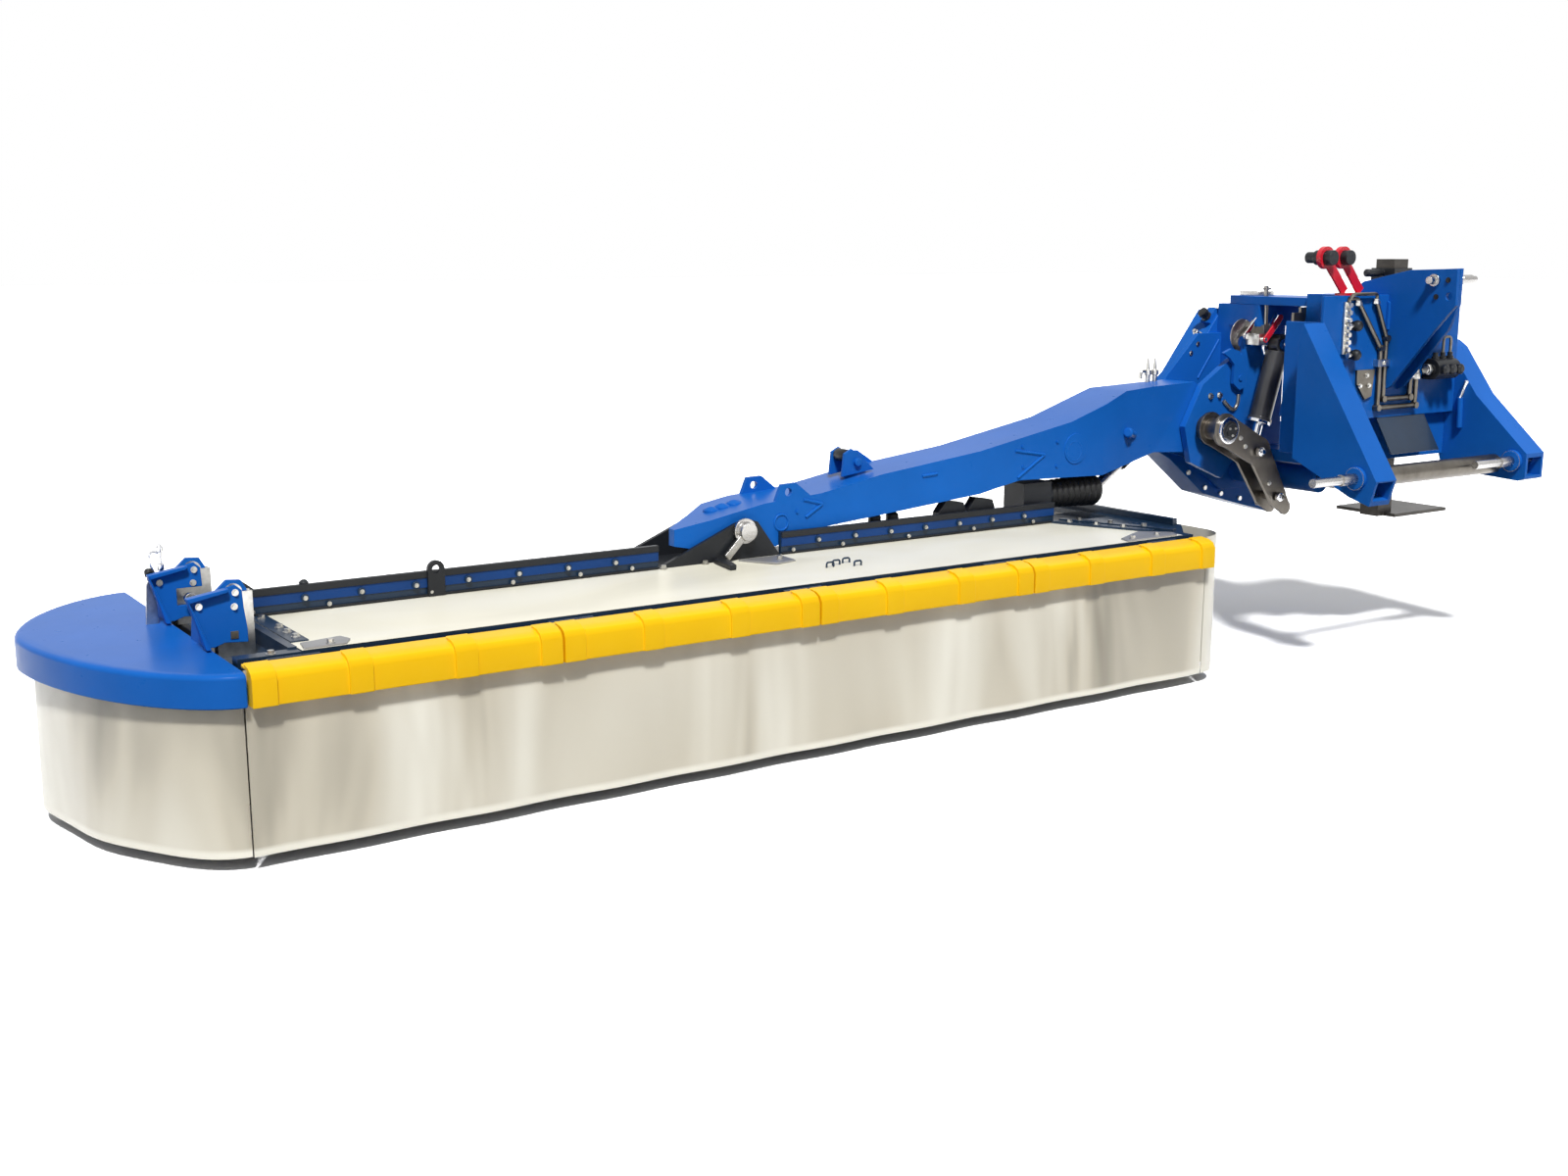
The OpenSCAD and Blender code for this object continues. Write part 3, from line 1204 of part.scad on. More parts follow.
// The closed dome of the cap, drawn in by a margin
module cap_dome(m, z0, push) {
    n = len(cap_angles);
    rings = concat([[0, z0]], [for (s = cap_round_shares) [cap_round * s[0], cap_z1 - m - cap_round * s[1]]]);
    pts = [for (r = rings) for (i = [0:n - 1]) let (p = cap_at(cap_angles[i], m + r[0]))
        [i == 0 || i == n - 1 ? cap_x + push : p[0], p[1], r[1]]];
    sides = [for (j = [0:len(rings) - 2]) for (i = [0:n - 1]) let (k = (i + 1) % n)
        each [[j * n + i, j * n + k, (j + 1) * n + k], [j * n + i, (j + 1) * n + k, (j + 1) * n + i]]];
    polyhedron(pts, concat(sides, [[for (i = [n - 1:-1:0]) i],
        [for (i = [0:n - 1]) (len(rings) - 1) * n + i]]));
}
module end_cap() color(blue) difference() {
    cap_dome(0, cap_z1 - cap_rim_h, 0);
    cap_dome(cap_wall, cap_z1 - cap_rim_h - over, over);
}

module end_skirt() color(cloth) {
    path = [for (t = cap_angles) cap_at(t, end_skirt_in)];
    n = len(path);
    side = [for (i = [0:n - 1]) let (d = path[min(i + 1, n - 1)] - path[max(i - 1, 0)]) [-d[1],
        d[0]] / norm(d)];
    z1 = cap_z1 - cap_wall;
    drape(path, side, [z1, z1 - cap_rim_h, (z1 + skirt_z) / 2, skirt_z], wave_shares, sheet_t, end_wave,
        wave_pitch);
}

lever_h = lever_z - cap_z1;
module end_levers() color(blue) for (y = lever_ys) {
    difference() {
        prism_y(at(end_shares, end_lever_w, lever_h, lever_x, lever_z), y - end_lever_t / 2,
            y + end_lever_t / 2);
        rod_y(lever_x, lever_z, y - end_lever_t, y + end_lever_t, end_pin_d + run_gap * 2);
    }
    prism_x(at(flange_shares, flange_l, lever_h, y - end_lever_t / 2, cap_z1), cap_x - flange_t, cap_x);
}

module latch_pin() color(black) {
    y = lever_ys[1] - plate_in;
    rod_y(latch_x, latch_z, y - latch_len, y, latch_d);
    rod_y(latch_x, latch_z, y - latch_len - latch_knob_len, y - latch_len, latch_knob_d);
}

// Discs

disc_z = bed_z1 + part_gap;
rim_z = disc_z + hub_h;
module disc(k) color(steel) translate([disc_x(k), disc_y, 0]) rotate([0, 0, k % 2 * 90]) {
    r = disc_d / 2;
    rb = spigot_d / 2 + run_gap;
    zs = bed_z1 + spigot_h + part_gap;
    zk = rim_z - knife_gap - knife_t;
    zi = rim_z + disc_rim_t + disc_shares[1][1] * (dome_h - disc_rim_t) - disc_wall;
    rotate_extrude() polygon(concat([[rb, disc_z], [hub_d / 2, disc_z], [hub_d / 2, zi],
        [disc_shares[1][0] * r, zi],
        [disc_hollow_share * r, rim_z], [r, rim_z], [r, rim_z + disc_rim_t]],
        [for (s = disc_shares) [s[0] * r, rim_z + disc_rim_t + s[1] * (dome_h - disc_rim_t)]],
        [[0, zs], [rb, zs]]));
    for (a = [0, 180]) rotate([0, 0, a]) {
        block([knife_in_share * knife_d / 2, -knife_w / 2, zk], [knife_d / 2, knife_w / 2, zk + knife_t]);
        rod_z(knife_bolt_share * knife_d / 2, 0, zk - bolt_foot, rim_z + bolt_foot, knife_bolt_d);
    }
}
module disc_1() color(steel) {
    disc(1);
    z = rim_z + disc_rim_t;
    difference() {
        union() {
            translate([disc_x1, disc_y, z]) cylinder(h = drum_h, d1 = drum_d, d2 = drum_top_d);
            rod_z(disc_x1, disc_y, z, beam_z0, shaft_d);
        }
        rod_z(disc_x1, disc_y, bed_z1, bed_z1 + spigot_h + part_gap, spigot_d + run_gap * 2);
    }
}
module disc_2() disc(2);
module disc_3() disc(3);
module disc_4() disc(4);
module disc_5() disc(5);
module disc_6() disc(6);
module disc_7() disc(7);
module disc_8() disc(8);

headstock_beam();
right_hitch_leg();
left_hitch_leg();
top_link_mast();
lower_hitch_pins();
top_link_pin();
lower_cross_tube();
shaft_shield();
hose_rack();
valve_strip();
black_fittings();
steel_pipes();
parking_collar();
break_back_pin();
parking_leg();
turret_frame();
drive_casing();
casing_bolts();
drive_belt();
shutoff_valve();
input_shaft();
output_shaft();
lift_barrel();
lift_rod();
transport_hook();
valve_lever();
arm_beam();
lift_pin();
crank_plates();
bevel_box();
arm_guide();
shaft_tube();
shaft_slider();
main_beam();
pivot_bracket();
bar_pin();
cover_rails();
canopy_frame();
canopy_canvas();
skirt_panels();
cutter_bed();
bar_hangers();
bar_gearbox();
gearbox_boot();
bar_fittings();
bumper();
guard_bar();
front_skirt();
end_cap();
end_skirt();
end_levers();
latch_pin();
disc_1();
disc_2();
disc_3();
disc_4();
disc_5();
disc_6();
disc_7();
disc_8();
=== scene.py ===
import json
import math

import bmesh
import bpy
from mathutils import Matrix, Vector, noise


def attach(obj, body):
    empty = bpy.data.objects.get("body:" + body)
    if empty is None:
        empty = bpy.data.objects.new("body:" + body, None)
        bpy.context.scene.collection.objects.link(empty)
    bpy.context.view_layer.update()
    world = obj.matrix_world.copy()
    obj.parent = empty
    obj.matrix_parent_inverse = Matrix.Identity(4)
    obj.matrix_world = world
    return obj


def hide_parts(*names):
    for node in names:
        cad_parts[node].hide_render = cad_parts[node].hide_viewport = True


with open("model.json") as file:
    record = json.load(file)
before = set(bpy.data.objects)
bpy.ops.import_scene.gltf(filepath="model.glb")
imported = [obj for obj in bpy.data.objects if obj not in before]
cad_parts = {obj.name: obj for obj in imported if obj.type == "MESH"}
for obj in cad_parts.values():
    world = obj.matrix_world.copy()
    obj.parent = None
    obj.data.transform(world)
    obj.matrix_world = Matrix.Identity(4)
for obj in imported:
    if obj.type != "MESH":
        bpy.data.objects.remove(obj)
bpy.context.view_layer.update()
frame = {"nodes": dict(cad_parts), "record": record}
scene = bpy.context.scene

# Camera. It stands where the photograph was taken from, ahead of the bar's outer end
# and a little above it, looking back along the arm to the headstock.
camera = bpy.data.objects.new("camera", bpy.data.cameras.new("camera"))
scene.collection.objects.link(camera)
camera.location = (-4.78987, -3.44715, 0.71890)
camera.rotation_euler = (math.radians(78.71), 0, math.radians(-33.85))
camera.data.sensor_width = 36
camera.data.lens = 39.32
camera.data.clip_end = 300
scene.camera = camera
scene.view_settings.view_transform = "Standard"


# Studio. A white floor under the skids, a broad key light from above the front of the bar,
# a soft fill from the camera's side, and a pale sky over a darker horizon that lights the object, while the
# camera and reflections see plain white.
def node(tree, kind, **values):
    """A shader node of a kind, with the named inputs set."""
    made = tree.nodes.new("ShaderNode" + kind)
    for label, value in values.items():
        made.inputs[label.replace("_", " ")].default_value = value
    return made


def wire(tree, *pairs):
    """Links each pair of an output and an input."""
    for start, end in pairs:
        tree.links.new(start, end)


def ramp(tree, *stops):
    """A colour ramp through stops, each a place and a colour."""
    made = node(tree, "ValToRGB")
    marks = made.color_ramp.elements
    for mark, (place, tone) in zip((marks[0], marks[1]), (stops[0], stops[-1])):
        mark.position = place
        mark.color = (*tone, 1)
    for place, tone in stops[1:-1]:
        marks.new(place).color = (*tone, 1)
    return made


def blend(tree, share, start, tone):
    """The output that goes from a start output to a fixed colour as the share output goes to 1."""
    made = node(tree, "Mix")
    made.data_type = "RGBA"
    made.inputs[7].default_value = (*tone, 1)
    wire(tree, (share, made.inputs[0]), (start, made.inputs[6]))
    return made.outputs[2]


def seen(tree):
    """The output that is 1 for what the camera sees, straight or by way of a glossy or clear surface."""
    path = node(tree, "LightPath")
    highest = path.outputs["Is Camera Ray"]
    for kind in ("Is Glossy Ray", "Is Transmission Ray"):
        either = node(tree, "Math")
        either.operation = "MAXIMUM"
        wire(tree, (highest, either.inputs[0]), (path.outputs[kind], either.inputs[1]))
        highest = either.outputs["Value"]
    return highest


def blank(name):
    """A new material, with its tree and its shader."""
    made = bpy.data.materials.new(name)
    made.use_nodes = True
    return made, made.node_tree, made.node_tree.nodes["Principled BSDF"]


def lamp(name, kind, energy, aim):
    """A lamp of a kind that shines along aim."""
    made = bpy.data.objects.new(name, bpy.data.lights.new(name, kind))
    scene.collection.objects.link(made)
    made.data.energy = energy
    made.rotation_euler = aim.to_track_quat("-Z", "Y").to_euler()
    return made


ground_z = -0.645
floor_half = 60
floor_white = (1.9, 1.9, 1.9)
floor_mesh = bpy.data.meshes.new("floor")
floor_corners = ((-1, -1), (1, -1), (1, 1), (-1, 1))
floor_mesh.from_pydata([(x * floor_half, y * floor_half, ground_z) for x, y in floor_corners], [],
                       [(0, 1, 2, 3)])
floor = bpy.data.objects.new("floor", floor_mesh)
scene.collection.objects.link(floor)
floor_paint, floor_tree, floor_bsdf = blank("studio_floor")
floor_bsdf.inputs["Roughness"].default_value = 0.9
floor_bsdf.inputs["Specular IOR Level"].default_value = 0.1
floor_noise = node(floor_tree, "TexNoise", Scale=0.7)
floor_ramp = ramp(floor_tree, (0, (0.15, 0.15, 0.15)), (1, (0.17, 0.17, 0.17)))
floor_tone = blend(floor_tree, seen(floor_tree), floor_ramp.outputs["Color"], floor_white)
wire(floor_tree,
     (floor_noise.outputs["Fac"], floor_ramp.inputs["Fac"]),
     (floor_tone, floor_bsdf.inputs["Base Color"]))
floor.data.materials.append(floor_paint)

world = bpy.data.worlds.new("studio")
world.use_nodes = True
scene.world = world
sky = world.node_tree
sky.nodes.clear()
sky_out = node(sky, "OutputWorld")
sky_mix = node(sky, "MixShader")
sky_light = node(sky, "Background", Strength=0.28)
sky_seen = node(sky, "Background", Color=(1, 1, 1, 1))
sky_place = node(sky, "TexCoord")
sky_split = node(sky, "SeparateXYZ")
sky_range = node(sky, "MapRange", From_Min=-1, From_Max=1)
sky_ramp = ramp(sky, (0.40, (0.10, 0.085, 0.07)), (0.50, (0.20, 0.18, 0.16)), (0.55, (0.55, 0.56, 0.58)),
                (0.68, (0.95, 0.97, 1.0)), (0.95, (1.0, 1.0, 1.0)))
wire(sky,
     (sky_place.outputs["Generated"], sky_split.inputs["Vector"]),
     (sky_split.outputs["Z"], sky_range.inputs["Value"]),
     (sky_range.outputs["Result"], sky_ramp.inputs["Fac"]),
     (sky_ramp.outputs["Color"], sky_light.inputs["Color"]),
     (seen(sky), sky_mix.inputs["Fac"]),
     (sky_light.outputs["Background"], sky_mix.inputs[1]),
     (sky_seen.outputs["Background"], sky_mix.inputs[2]),
     (sky_mix.outputs["Shader"], sky_out.inputs["Surface"]))

key = lamp("key_light", "SUN", 3.3, Vector((0.28, 0.54, -0.79)))
key.data.angle = math.radians(7)
fill_place = Vector((-7.5, -5.0, 2.6))
bar_middle = Vector((-1.5, 0.6, 0))
fill = lamp("fill_light", "AREA", 20, bar_middle - fill_place)
fill.location = fill_place
fill.data.shape = "RECTANGLE"
fill.data.size = 4
fill.data.size_y = 2.5


# Cross beam, hitch legs and mast of the headstock: folded and welded steel plate, powder coated
# in a glossy blue. Edges are broken by the press and catch a thin line of light.
def surface(name, dark, base, rough, metal=0.0, grain=3.0, bump=0.05, fine=420.0, coat=0.0,
            stretch=(1, 1, 1), spread=0.03, shine=0.3):
    """A finish clouded between two colours, with uneven gloss and a fine relief."""
    made, tree, shader = blank(name)
    for label, value in (("Metallic", metal), ("Coat Weight", coat), ("Coat Roughness", 0.08),
                         ("Specular IOR Level", shine)):
        shader.inputs[label].default_value = value
    place = node(tree, "TexCoord")
    scaled = node(tree, "Mapping", Scale=stretch)
    cloud = node(tree, "TexNoise", Scale=grain, Detail=6.0, Roughness=0.6)
    tone = ramp(tree, (0.3, dark), (0.7, base))
    worn = node(tree, "TexNoise", Scale=grain * 7, Detail=8.0, Roughness=0.7)
    gloss = node(tree, "MapRange", From_Min=0.3, From_Max=0.7, To_Min=rough - spread, To_Max=rough + spread)
    peel = node(tree, "TexNoise", Scale=fine, Detail=2.0)
    relief = node(tree, "Bump", Strength=bump, Distance=0.001)
    wire(tree,
         (place.outputs["Object"], scaled.inputs["Vector"]),
         (scaled.outputs["Vector"], cloud.inputs["Vector"]),
         (scaled.outputs["Vector"], worn.inputs["Vector"]),
         (scaled.outputs["Vector"], peel.inputs["Vector"]),
         (cloud.outputs["Fac"], tone.inputs["Fac"]),
         (tone.outputs["Color"], shader.inputs["Base Color"]),
         (worn.outputs["Fac"], gloss.inputs["Value"]),
         (gloss.outputs["Result"], shader.inputs["Roughness"]),
         (peel.outputs["Fac"], relief.inputs["Height"]),
         (relief.outputs["Normal"], shader.inputs["Normal"]))
    return made


def hold(mesh):
    """A stand-in object that takes modifiers for a mesh."""
    held = bpy.data.objects.new("held", mesh)
    scene.collection.objects.link(held)
    return held


def applied(held):
    """The mesh of a stand-in with its modifiers applied; the stand-in is removed."""
    bpy.context.view_layer.update()
    full = bpy.data.meshes.new_from_object(held.evaluated_get(bpy.context.evaluated_depsgraph_get()))
    bpy.data.objects.remove(held)
    return full


sharp_angle = math.radians(32)


def finished(mesh, bevel, finish):
    """Smooths a mesh, with its sharp edges rounded by bevel, and gives it its finish."""
    mesh.materials.clear()
    mesh.materials.append(finish)
    for poly in mesh.polygons:
        poly.material_index = 0
    mesh.shade_smooth()
    if not bevel:
        mesh.set_sharp_from_angle(angle=sharp_angle)
        return mesh
    held = hold(mesh)
    cut = held.modifiers.new("edge", "BEVEL")
    cut.width = bevel
    cut.segments = 2
    cut.limit_method = "ANGLE"
    cut.angle_limit = sharp_angle
    cut.miter_outer = "MITER_ARC"
    even = held.modifiers.new("even", "WEIGHTED_NORMAL")
    even.keep_sharp = True
    return applied(held)


def piece(name, mesh, body):
    """An object that rides on a body."""
    made = bpy.data.objects.new(name, mesh)
    scene.collection.objects.link(made)
    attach(made, body)
    return made


weld_distance = 2e-5
flat_angle = math.radians(0.6)
body_of = {n: b for b, names in frame["record"]["behaviour"]["bodies"].items() for n in names}


def dress(name, finish, bevel):
    """A copy of a CAD node with its faces joined and its edges rounded, in place of it."""
    mesh = frame["nodes"][name].data.copy()
    work = bmesh.new()
    work.from_mesh(mesh)
    bmesh.ops.remove_doubles(work, verts=work.verts, dist=weld_distance)
    bmesh.ops.dissolve_limit(work, angle_limit=flat_angle, verts=work.verts, edges=work.edges)
    bmesh.ops.recalc_face_normals(work, faces=work.faces)
    work.to_mesh(mesh)
    work.free()
    made = piece(name + "_finished", finished(mesh, bevel, finish), body_of[name])
    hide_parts(name)
    return made


blue = surface("blue_powder_coat", (0.008, 0.116, 0.465), (0.010, 0.136, 0.545), 0.28, shine=0.07,
               spread=0.008, bump=0.03)
for name in ("headstock_beam", "right_hitch_leg", "left_hitch_leg", "top_link_mast"):
    dress(name, blue, 0.004)


# Hitch pins: turned steel, polished by the lower links, with the top link pin through the mast and a
# stepped tip on it for its spring clip. Blue rings stand round the lower pins on the faces of the legs,
# and a blue web closes the corner behind the near leg.
def slab(work, outline, axis, low, high):
    """Extrudes an outline along an axis; the outline's points are in the two other directions."""
    def at(p, d):
        return {"x": (d, p[0], p[1]), "y": (p[0], d, p[1]), "z": (p[0], p[1], d)}[axis]
    rims = [[work.verts.new(at(p, d)) for p in outline] for d in (low, high)]
    count = len(outline)
    work.faces.new(rims[0])
    work.faces.new(rims[1][::-1])
    for i in range(count):
        work.faces.new((rims[0][i], rims[1][i], rims[1][(i + 1) % count], rims[0][(i + 1) % count]))


def skin(work, rings):
    """Joins rings of points, all of one count, into a tube with closed ends."""
    sides = len(rings[0])
    for low, high in zip(rings, rings[1:]):
        for k in range(sides):
            work.faces.new((low[k], low[(k + 1) % sides], high[(k + 1) % sides], high[k]))
    work.faces.new(rings[0][::-1])
    work.faces.new(rings[-1])


def turned(work, start, end, profile, sides=20):
    """Turns (share of the length, radius) pairs about the line from start to end."""
    start = Vector(start)
    along = Vector(end) - start
    facing = along.to_track_quat("Z", "Y")
    angles = [2 * math.pi * k / sides for k in range(sides)]
    rings = []
    for share, r in profile:
        middle = start + along * share
        rings.append([work.verts.new(middle + facing @ Vector((r * math.cos(a), r * math.sin(a), 0)))
                      for a in angles])
    skin(work, rings)


def bent(work, points, r, turn=0.014, sides=10):
    """A round bar or pipe along a line of points, with its corners bent to a radius of about turn."""
    points = [Vector(p) for p in points]
    line = [points[0]]
    for a, p, b in zip(points, points[1:], points[2:]):
        before = p + (a - p).normalized() * min(turn, (a - p).length * 0.45)
        after = p + (b - p).normalized() * min(turn, (b - p).length * 0.45)
        line += [before.lerp(p, t).lerp(p.lerp(after, t), t) for t in (0, 0.25, 0.5, 0.75, 1)]
    line.append(points[-1])
    along = (line[1] - line[0]).normalized()
    side = along.orthogonal().normalized()
    angles = [2 * math.pi * k / sides for k in range(sides)]
    rings = []
    for i, p in enumerate(line):
        ahead = (line[min(i + 1, len(line) - 1)] - line[max(i - 1, 0)]).normalized()
        side = (along.rotation_difference(ahead) @ side).normalized()
        along = ahead
        other = along.cross(side)
        rings.append([work.verts.new(p + side * r * math.cos(a) + other * r * math.sin(a)) for a in angles])
    skin(work, rings)


def shaped(name, work, finish, body, bevel=0.0):
    """Closes the work on a loose piece: faces outward, finish on, fixed to its body."""
    bmesh.ops.recalc_face_normals(work, faces=work.faces)
    mesh = bpy.data.meshes.new(name)
    work.to_mesh(mesh)
    work.free()
    return piece(name, finished(mesh, bevel, finish), body)


steel = surface("turned_steel", (0.34, 0.33, 0.32), (0.56, 0.55, 0.54), 0.26, metal=1.0, grain=5,
                stretch=(1, 1, 6), bump=0.03)
dress("lower_hitch_pins", steel, 0.0015)
for name in ("top_link_pin", "break_back_pin", "bar_pin", "latch_pin"):
    dress(name, steel, 0.0015)
mast_pin_y, mast_pin_z = 0.073, 0.610
work = bmesh.new()
turned(work, (0.242, mast_pin_y, mast_pin_z), (0.338, mast_pin_y, mast_pin_z),
       ((0, 0.0125), (0.12, 0.0125), (0.16, 0.016), (0.72, 0.016), (0.78, 0.012), (0.95, 0.012), (1, 0.008)))
shaped("mast_pin_tip", work, steel, "headstock")
leg_faces = (-0.305, 0.515)
near_web = ((-0.019, 0.150), (-0.130, 0.150), (-0.111, 0.230), (-0.082, 0.345), (-0.060, 0.430),
            (-0.019, 0.475))
work = bmesh.new()
for face in leg_faces:
    turned(work, (face + 0.001, 0, 0), (face - 0.0135, 0, 0), ((0, 0.0375), (0.7, 0.0375), (1, 0.033)), 32)
slab(work, near_web, "y", 0.460, 0.470)
shaped("pin_bosses", work, blue, "headstock", 0.001)

# Navy covers and the parts in black: the shaft shield, the stand's collar, the brackets, the
# couplings and the round knobs that close them, all powder coated.
black = surface("black_powder_coat", (0.008, 0.009, 0.011), (0.016, 0.018, 0.022), 0.42, bump=0.12, fine=900)
navy = surface("navy_paint", (0.007, 0.020, 0.042), (0.010, 0.030, 0.066), 0.35, coat=0.2)
for name in ("parking_collar", "pivot_bracket", "bar_gearbox", "bevel_box", "black_fittings", "bar_hangers",
             "shaft_tube", "drive_belt"):
    dress(name, black, 0.002)
for name in ("main_beam", "cover_rails", "canopy_frame", "guard_bar", "shaft_shield"):
    dress(name, navy, 0.002)
strip_knob_z = (0.462, 0.367)
valve_block_x = (0.346, 0.386, 0.426)
work = bmesh.new()
turned(work, (0.166, 0.380, 0.629), (0.244, 0.380, 0.629),
       ((0, 0.008), (0.06, 0.013), (0.9, 0.0125), (1, 0.010)))
for z in strip_knob_z:
    turned(work, (-0.062, 0.205, z), (-0.062, 0.240, z),
           ((0, 0.006), (0.08, 0.012), (0.25, 0.017), (0.5, 0.019), (0.75, 0.017), (1, 0.010)))
for x in valve_block_x:
    turned(work, (x, 0.156, 0.306), (x, 0.190, 0.306),
           ((0, 0.010), (0.2, 0.018), (0.6, 0.018), (0.65, 0.014), (1, 0.014)), 12)
    turned(work, (x, 0.211, 0.335), (x, 0.211, 0.362),
           ((0, 0.013), (0.5, 0.013), (0.55, 0.009), (1, 0.009)), 8)
shaped("black_knobs", work, black, "headstock", 0.0008)

# Hose rack: two slanted plates in bright red that hold the loose ends of the hydraulic hoses, fixed on
# the cross beam. The lever of the shut-off valve has the same paint.
red = surface("red_paint", (0.62, 0.010, 0.025), (0.80, 0.016, 0.040), 0.32, coat=0.3)
for name in ("hose_rack", "valve_lever"):
    dress(name, red, 0.0015)


# Hydraulic valves, pipes and the small plated steel parts on the front of the cross beam: a strip of
# couplings, two bent pipes under one clamp, their union nuts, a drilled bracket and a stop lever. The
# tube between the legs is in pipe steel too, and the stand in a darker one.
def oblong(a, b, c, d):
    """The outline of a rectangle with (a, b) and (c, d) at opposite corners."""
    return (a, b), (c, b), (c, d), (a, d)


def bolt_row():
    """The geometry tree that sets a bolt with its washer at each point, along the point's axis."""
    tree = bpy.data.node_groups.new("bolt_row", "GeometryNodeTree")
    whole_turn = 6.2832
    face = tree.interface
    face.new_socket("Places", in_out="INPUT", socket_type="NodeSocketGeometry")
    for label, size in (("Head width", 0.018), ("Head height", 0.009), ("Washer width", 0.026),
                        ("Washer height", 0.002)):
        face.new_socket(label, in_out="INPUT", socket_type="NodeSocketFloat").default_value = size
    for label, number in (("Head sides", 6), ("Turn seed", 7)):
        face.new_socket(label, in_out="INPUT", socket_type="NodeSocketInt").default_value = number
    face.new_socket("Finish", in_out="INPUT", socket_type="NodeSocketMaterial")
    face.new_socket("Bolts", in_out="OUTPUT", socket_type="NodeSocketGeometry")
    start = tree.nodes.new("NodeGroupInput")
    end = tree.nodes.new("NodeGroupOutput")
    link = tree.links.new

    def half(socket):
        made = node(tree, "Math")
        made.operation = "MULTIPLY"
        made.inputs[1].default_value = 0.5
        link(socket, made.inputs[0])
        return made.outputs[0]

    def drum(width, height, lift):
        made = tree.nodes.new("GeometryNodeMeshCylinder")
        made.inputs["Vertices"].default_value = 14
        link(half(width), made.inputs["Radius"])
        link(height, made.inputs["Depth"])
        up = node(tree, "CombineXYZ")
        link(lift, up.inputs["Z"])
        moved = tree.nodes.new("GeometryNodeTransform")
        link(made.outputs["Mesh"], moved.inputs["Geometry"])
        link(up.outputs["Vector"], moved.inputs["Translation"])
        return made, moved

    washer_up = drum(start.outputs["Washer width"], start.outputs["Washer height"],
                     half(start.outputs["Washer height"]))[1]
    lift = node(tree, "Math")
    link(half(start.outputs["Head height"]), lift.inputs[0])
    link(start.outputs["Washer height"], lift.inputs[1])
    head, head_up = drum(start.outputs["Head width"], start.outputs["Head height"], lift.outputs[0])
    link(start.outputs["Head sides"], head.inputs["Vertices"])
    bolt = tree.nodes.new("GeometryNodeJoinGeometry")
    link(washer_up.outputs["Geometry"], bolt.inputs["Geometry"])
    link(head_up.outputs["Geometry"], bolt.inputs["Geometry"])
    axis = tree.nodes.new("GeometryNodeInputNamedAttribute")
    axis.data_type = "FLOAT_VECTOR"
    axis.inputs["Name"].default_value = "axis"
    aimed = tree.nodes.new("FunctionNodeAlignRotationToVector")
    aimed.axis = "Z"
    link(axis.outputs["Attribute"], aimed.inputs["Vector"])
    chance = tree.nodes.new("FunctionNodeRandomValue")
    chance.data_type = "FLOAT"
    chance.inputs[3].default_value = whole_turn
    link(start.outputs["Turn seed"], chance.inputs["Seed"])
    spun = tree.nodes.new("FunctionNodeAxisAngleToRotation")
    link(chance.outputs[1], spun.inputs["Angle"])
    both = tree.nodes.new("FunctionNodeRotateRotation")
    both.rotation_space = "LOCAL"
    link(aimed.outputs["Rotation"], both.inputs["Rotation"])
    link(spun.outputs["Rotation"], both.inputs["Rotate By"])
    placed = tree.nodes.new("GeometryNodeInstanceOnPoints")
    link(start.outputs["Places"], placed.inputs["Points"])
    link(bolt.outputs["Geometry"], placed.inputs["Instance"])
    link(both.outputs["Rotation"], placed.inputs["Rotation"])
    solid = tree.nodes.new("GeometryNodeRealizeInstances")
    link(placed.outputs["Instances"], solid.inputs["Geometry"])
    coat = tree.nodes.new("GeometryNodeSetMaterial")
    link(solid.outputs["Geometry"], coat.inputs["Geometry"])
    link(start.outputs["Finish"], coat.inputs["Material"])
    link(coat.outputs["Geometry"], end.inputs["Bolts"])
    return tree


bolt_tree = bolt_row()


def bolts(name, places, axis, finish, body, slot, **sizes):
    """One mesh of bolts at the given places, all along one axis, fixed to a body."""
    mesh = bpy.data.meshes.new(name)
    mesh.from_pydata([Vector(p) for p in places], [], [])
    way = mesh.attributes.new("axis", "FLOAT_VECTOR", "POINT")
    for i in range(len(places)):
        way.data[i].vector = axis
    held = hold(mesh)
    made = held.modifiers.new("bolts", "NODES")
    made.node_group = bolt_tree
    sockets = {item.name: item.identifier for item in bolt_tree.interface.items_tree if item.in_out == "INPUT"}
    made[sockets["Finish"]] = finish
    for label, size in sizes.items():
        made[sockets[label.replace("_", " ").capitalize()]] = size
    return piece(name, finished(applied(held), 0, finish), body)


zinc = surface("zinc_plate", (0.45, 0.44, 0.41), (0.68, 0.67, 0.64), 0.30, metal=1.0, grain=40)
pipe = surface("pipe_steel", (0.10, 0.090, 0.074), (0.19, 0.172, 0.146), 0.32, metal=0.9, grain=12)
stand_steel = surface("stand_steel", (0.035, 0.031, 0.027), (0.075, 0.068, 0.060), 0.38, metal=0.6, grain=9)
for name in ("valve_strip", "casing_bolts", "shutoff_valve"):
    dress(name, zinc, 0.001)
for name in ("steel_pipes", "lower_cross_tube"):
    dress(name, pipe, 0.001)
dress("parking_leg", stand_steel, 0.0015)
pipe_y = 0.235
pipe_r = 0.006
union_nut = ((0, 0.0105), (0.08, 0.0135), (0.6, 0.0135), (0.65, 0.010), (1, 0.010))
unions = ((0.282, 0.272, 0.306), (0.250, 0.278, 0.312), (-0.048, 0.526, 0.544), (0.044, 0.530, 0.548))
work = bmesh.new()
for x, low, high in unions:
    turned(work, (x, pipe_y, low), (x, pipe_y, high), union_nut, 6)
for z in strip_knob_z:
    turned(work, (-0.100, 0.226, z), (-0.066, 0.226, z),
           ((0, 0.009), (0.3, 0.009), (0.35, 0.0055), (1, 0.0055)), 12)
turned(work, (0.294, 0.211, 0.306), (0.312, 0.211, 0.306), ((0, 0.012), (0.3, 0.020), (1, 0.020)), 6)
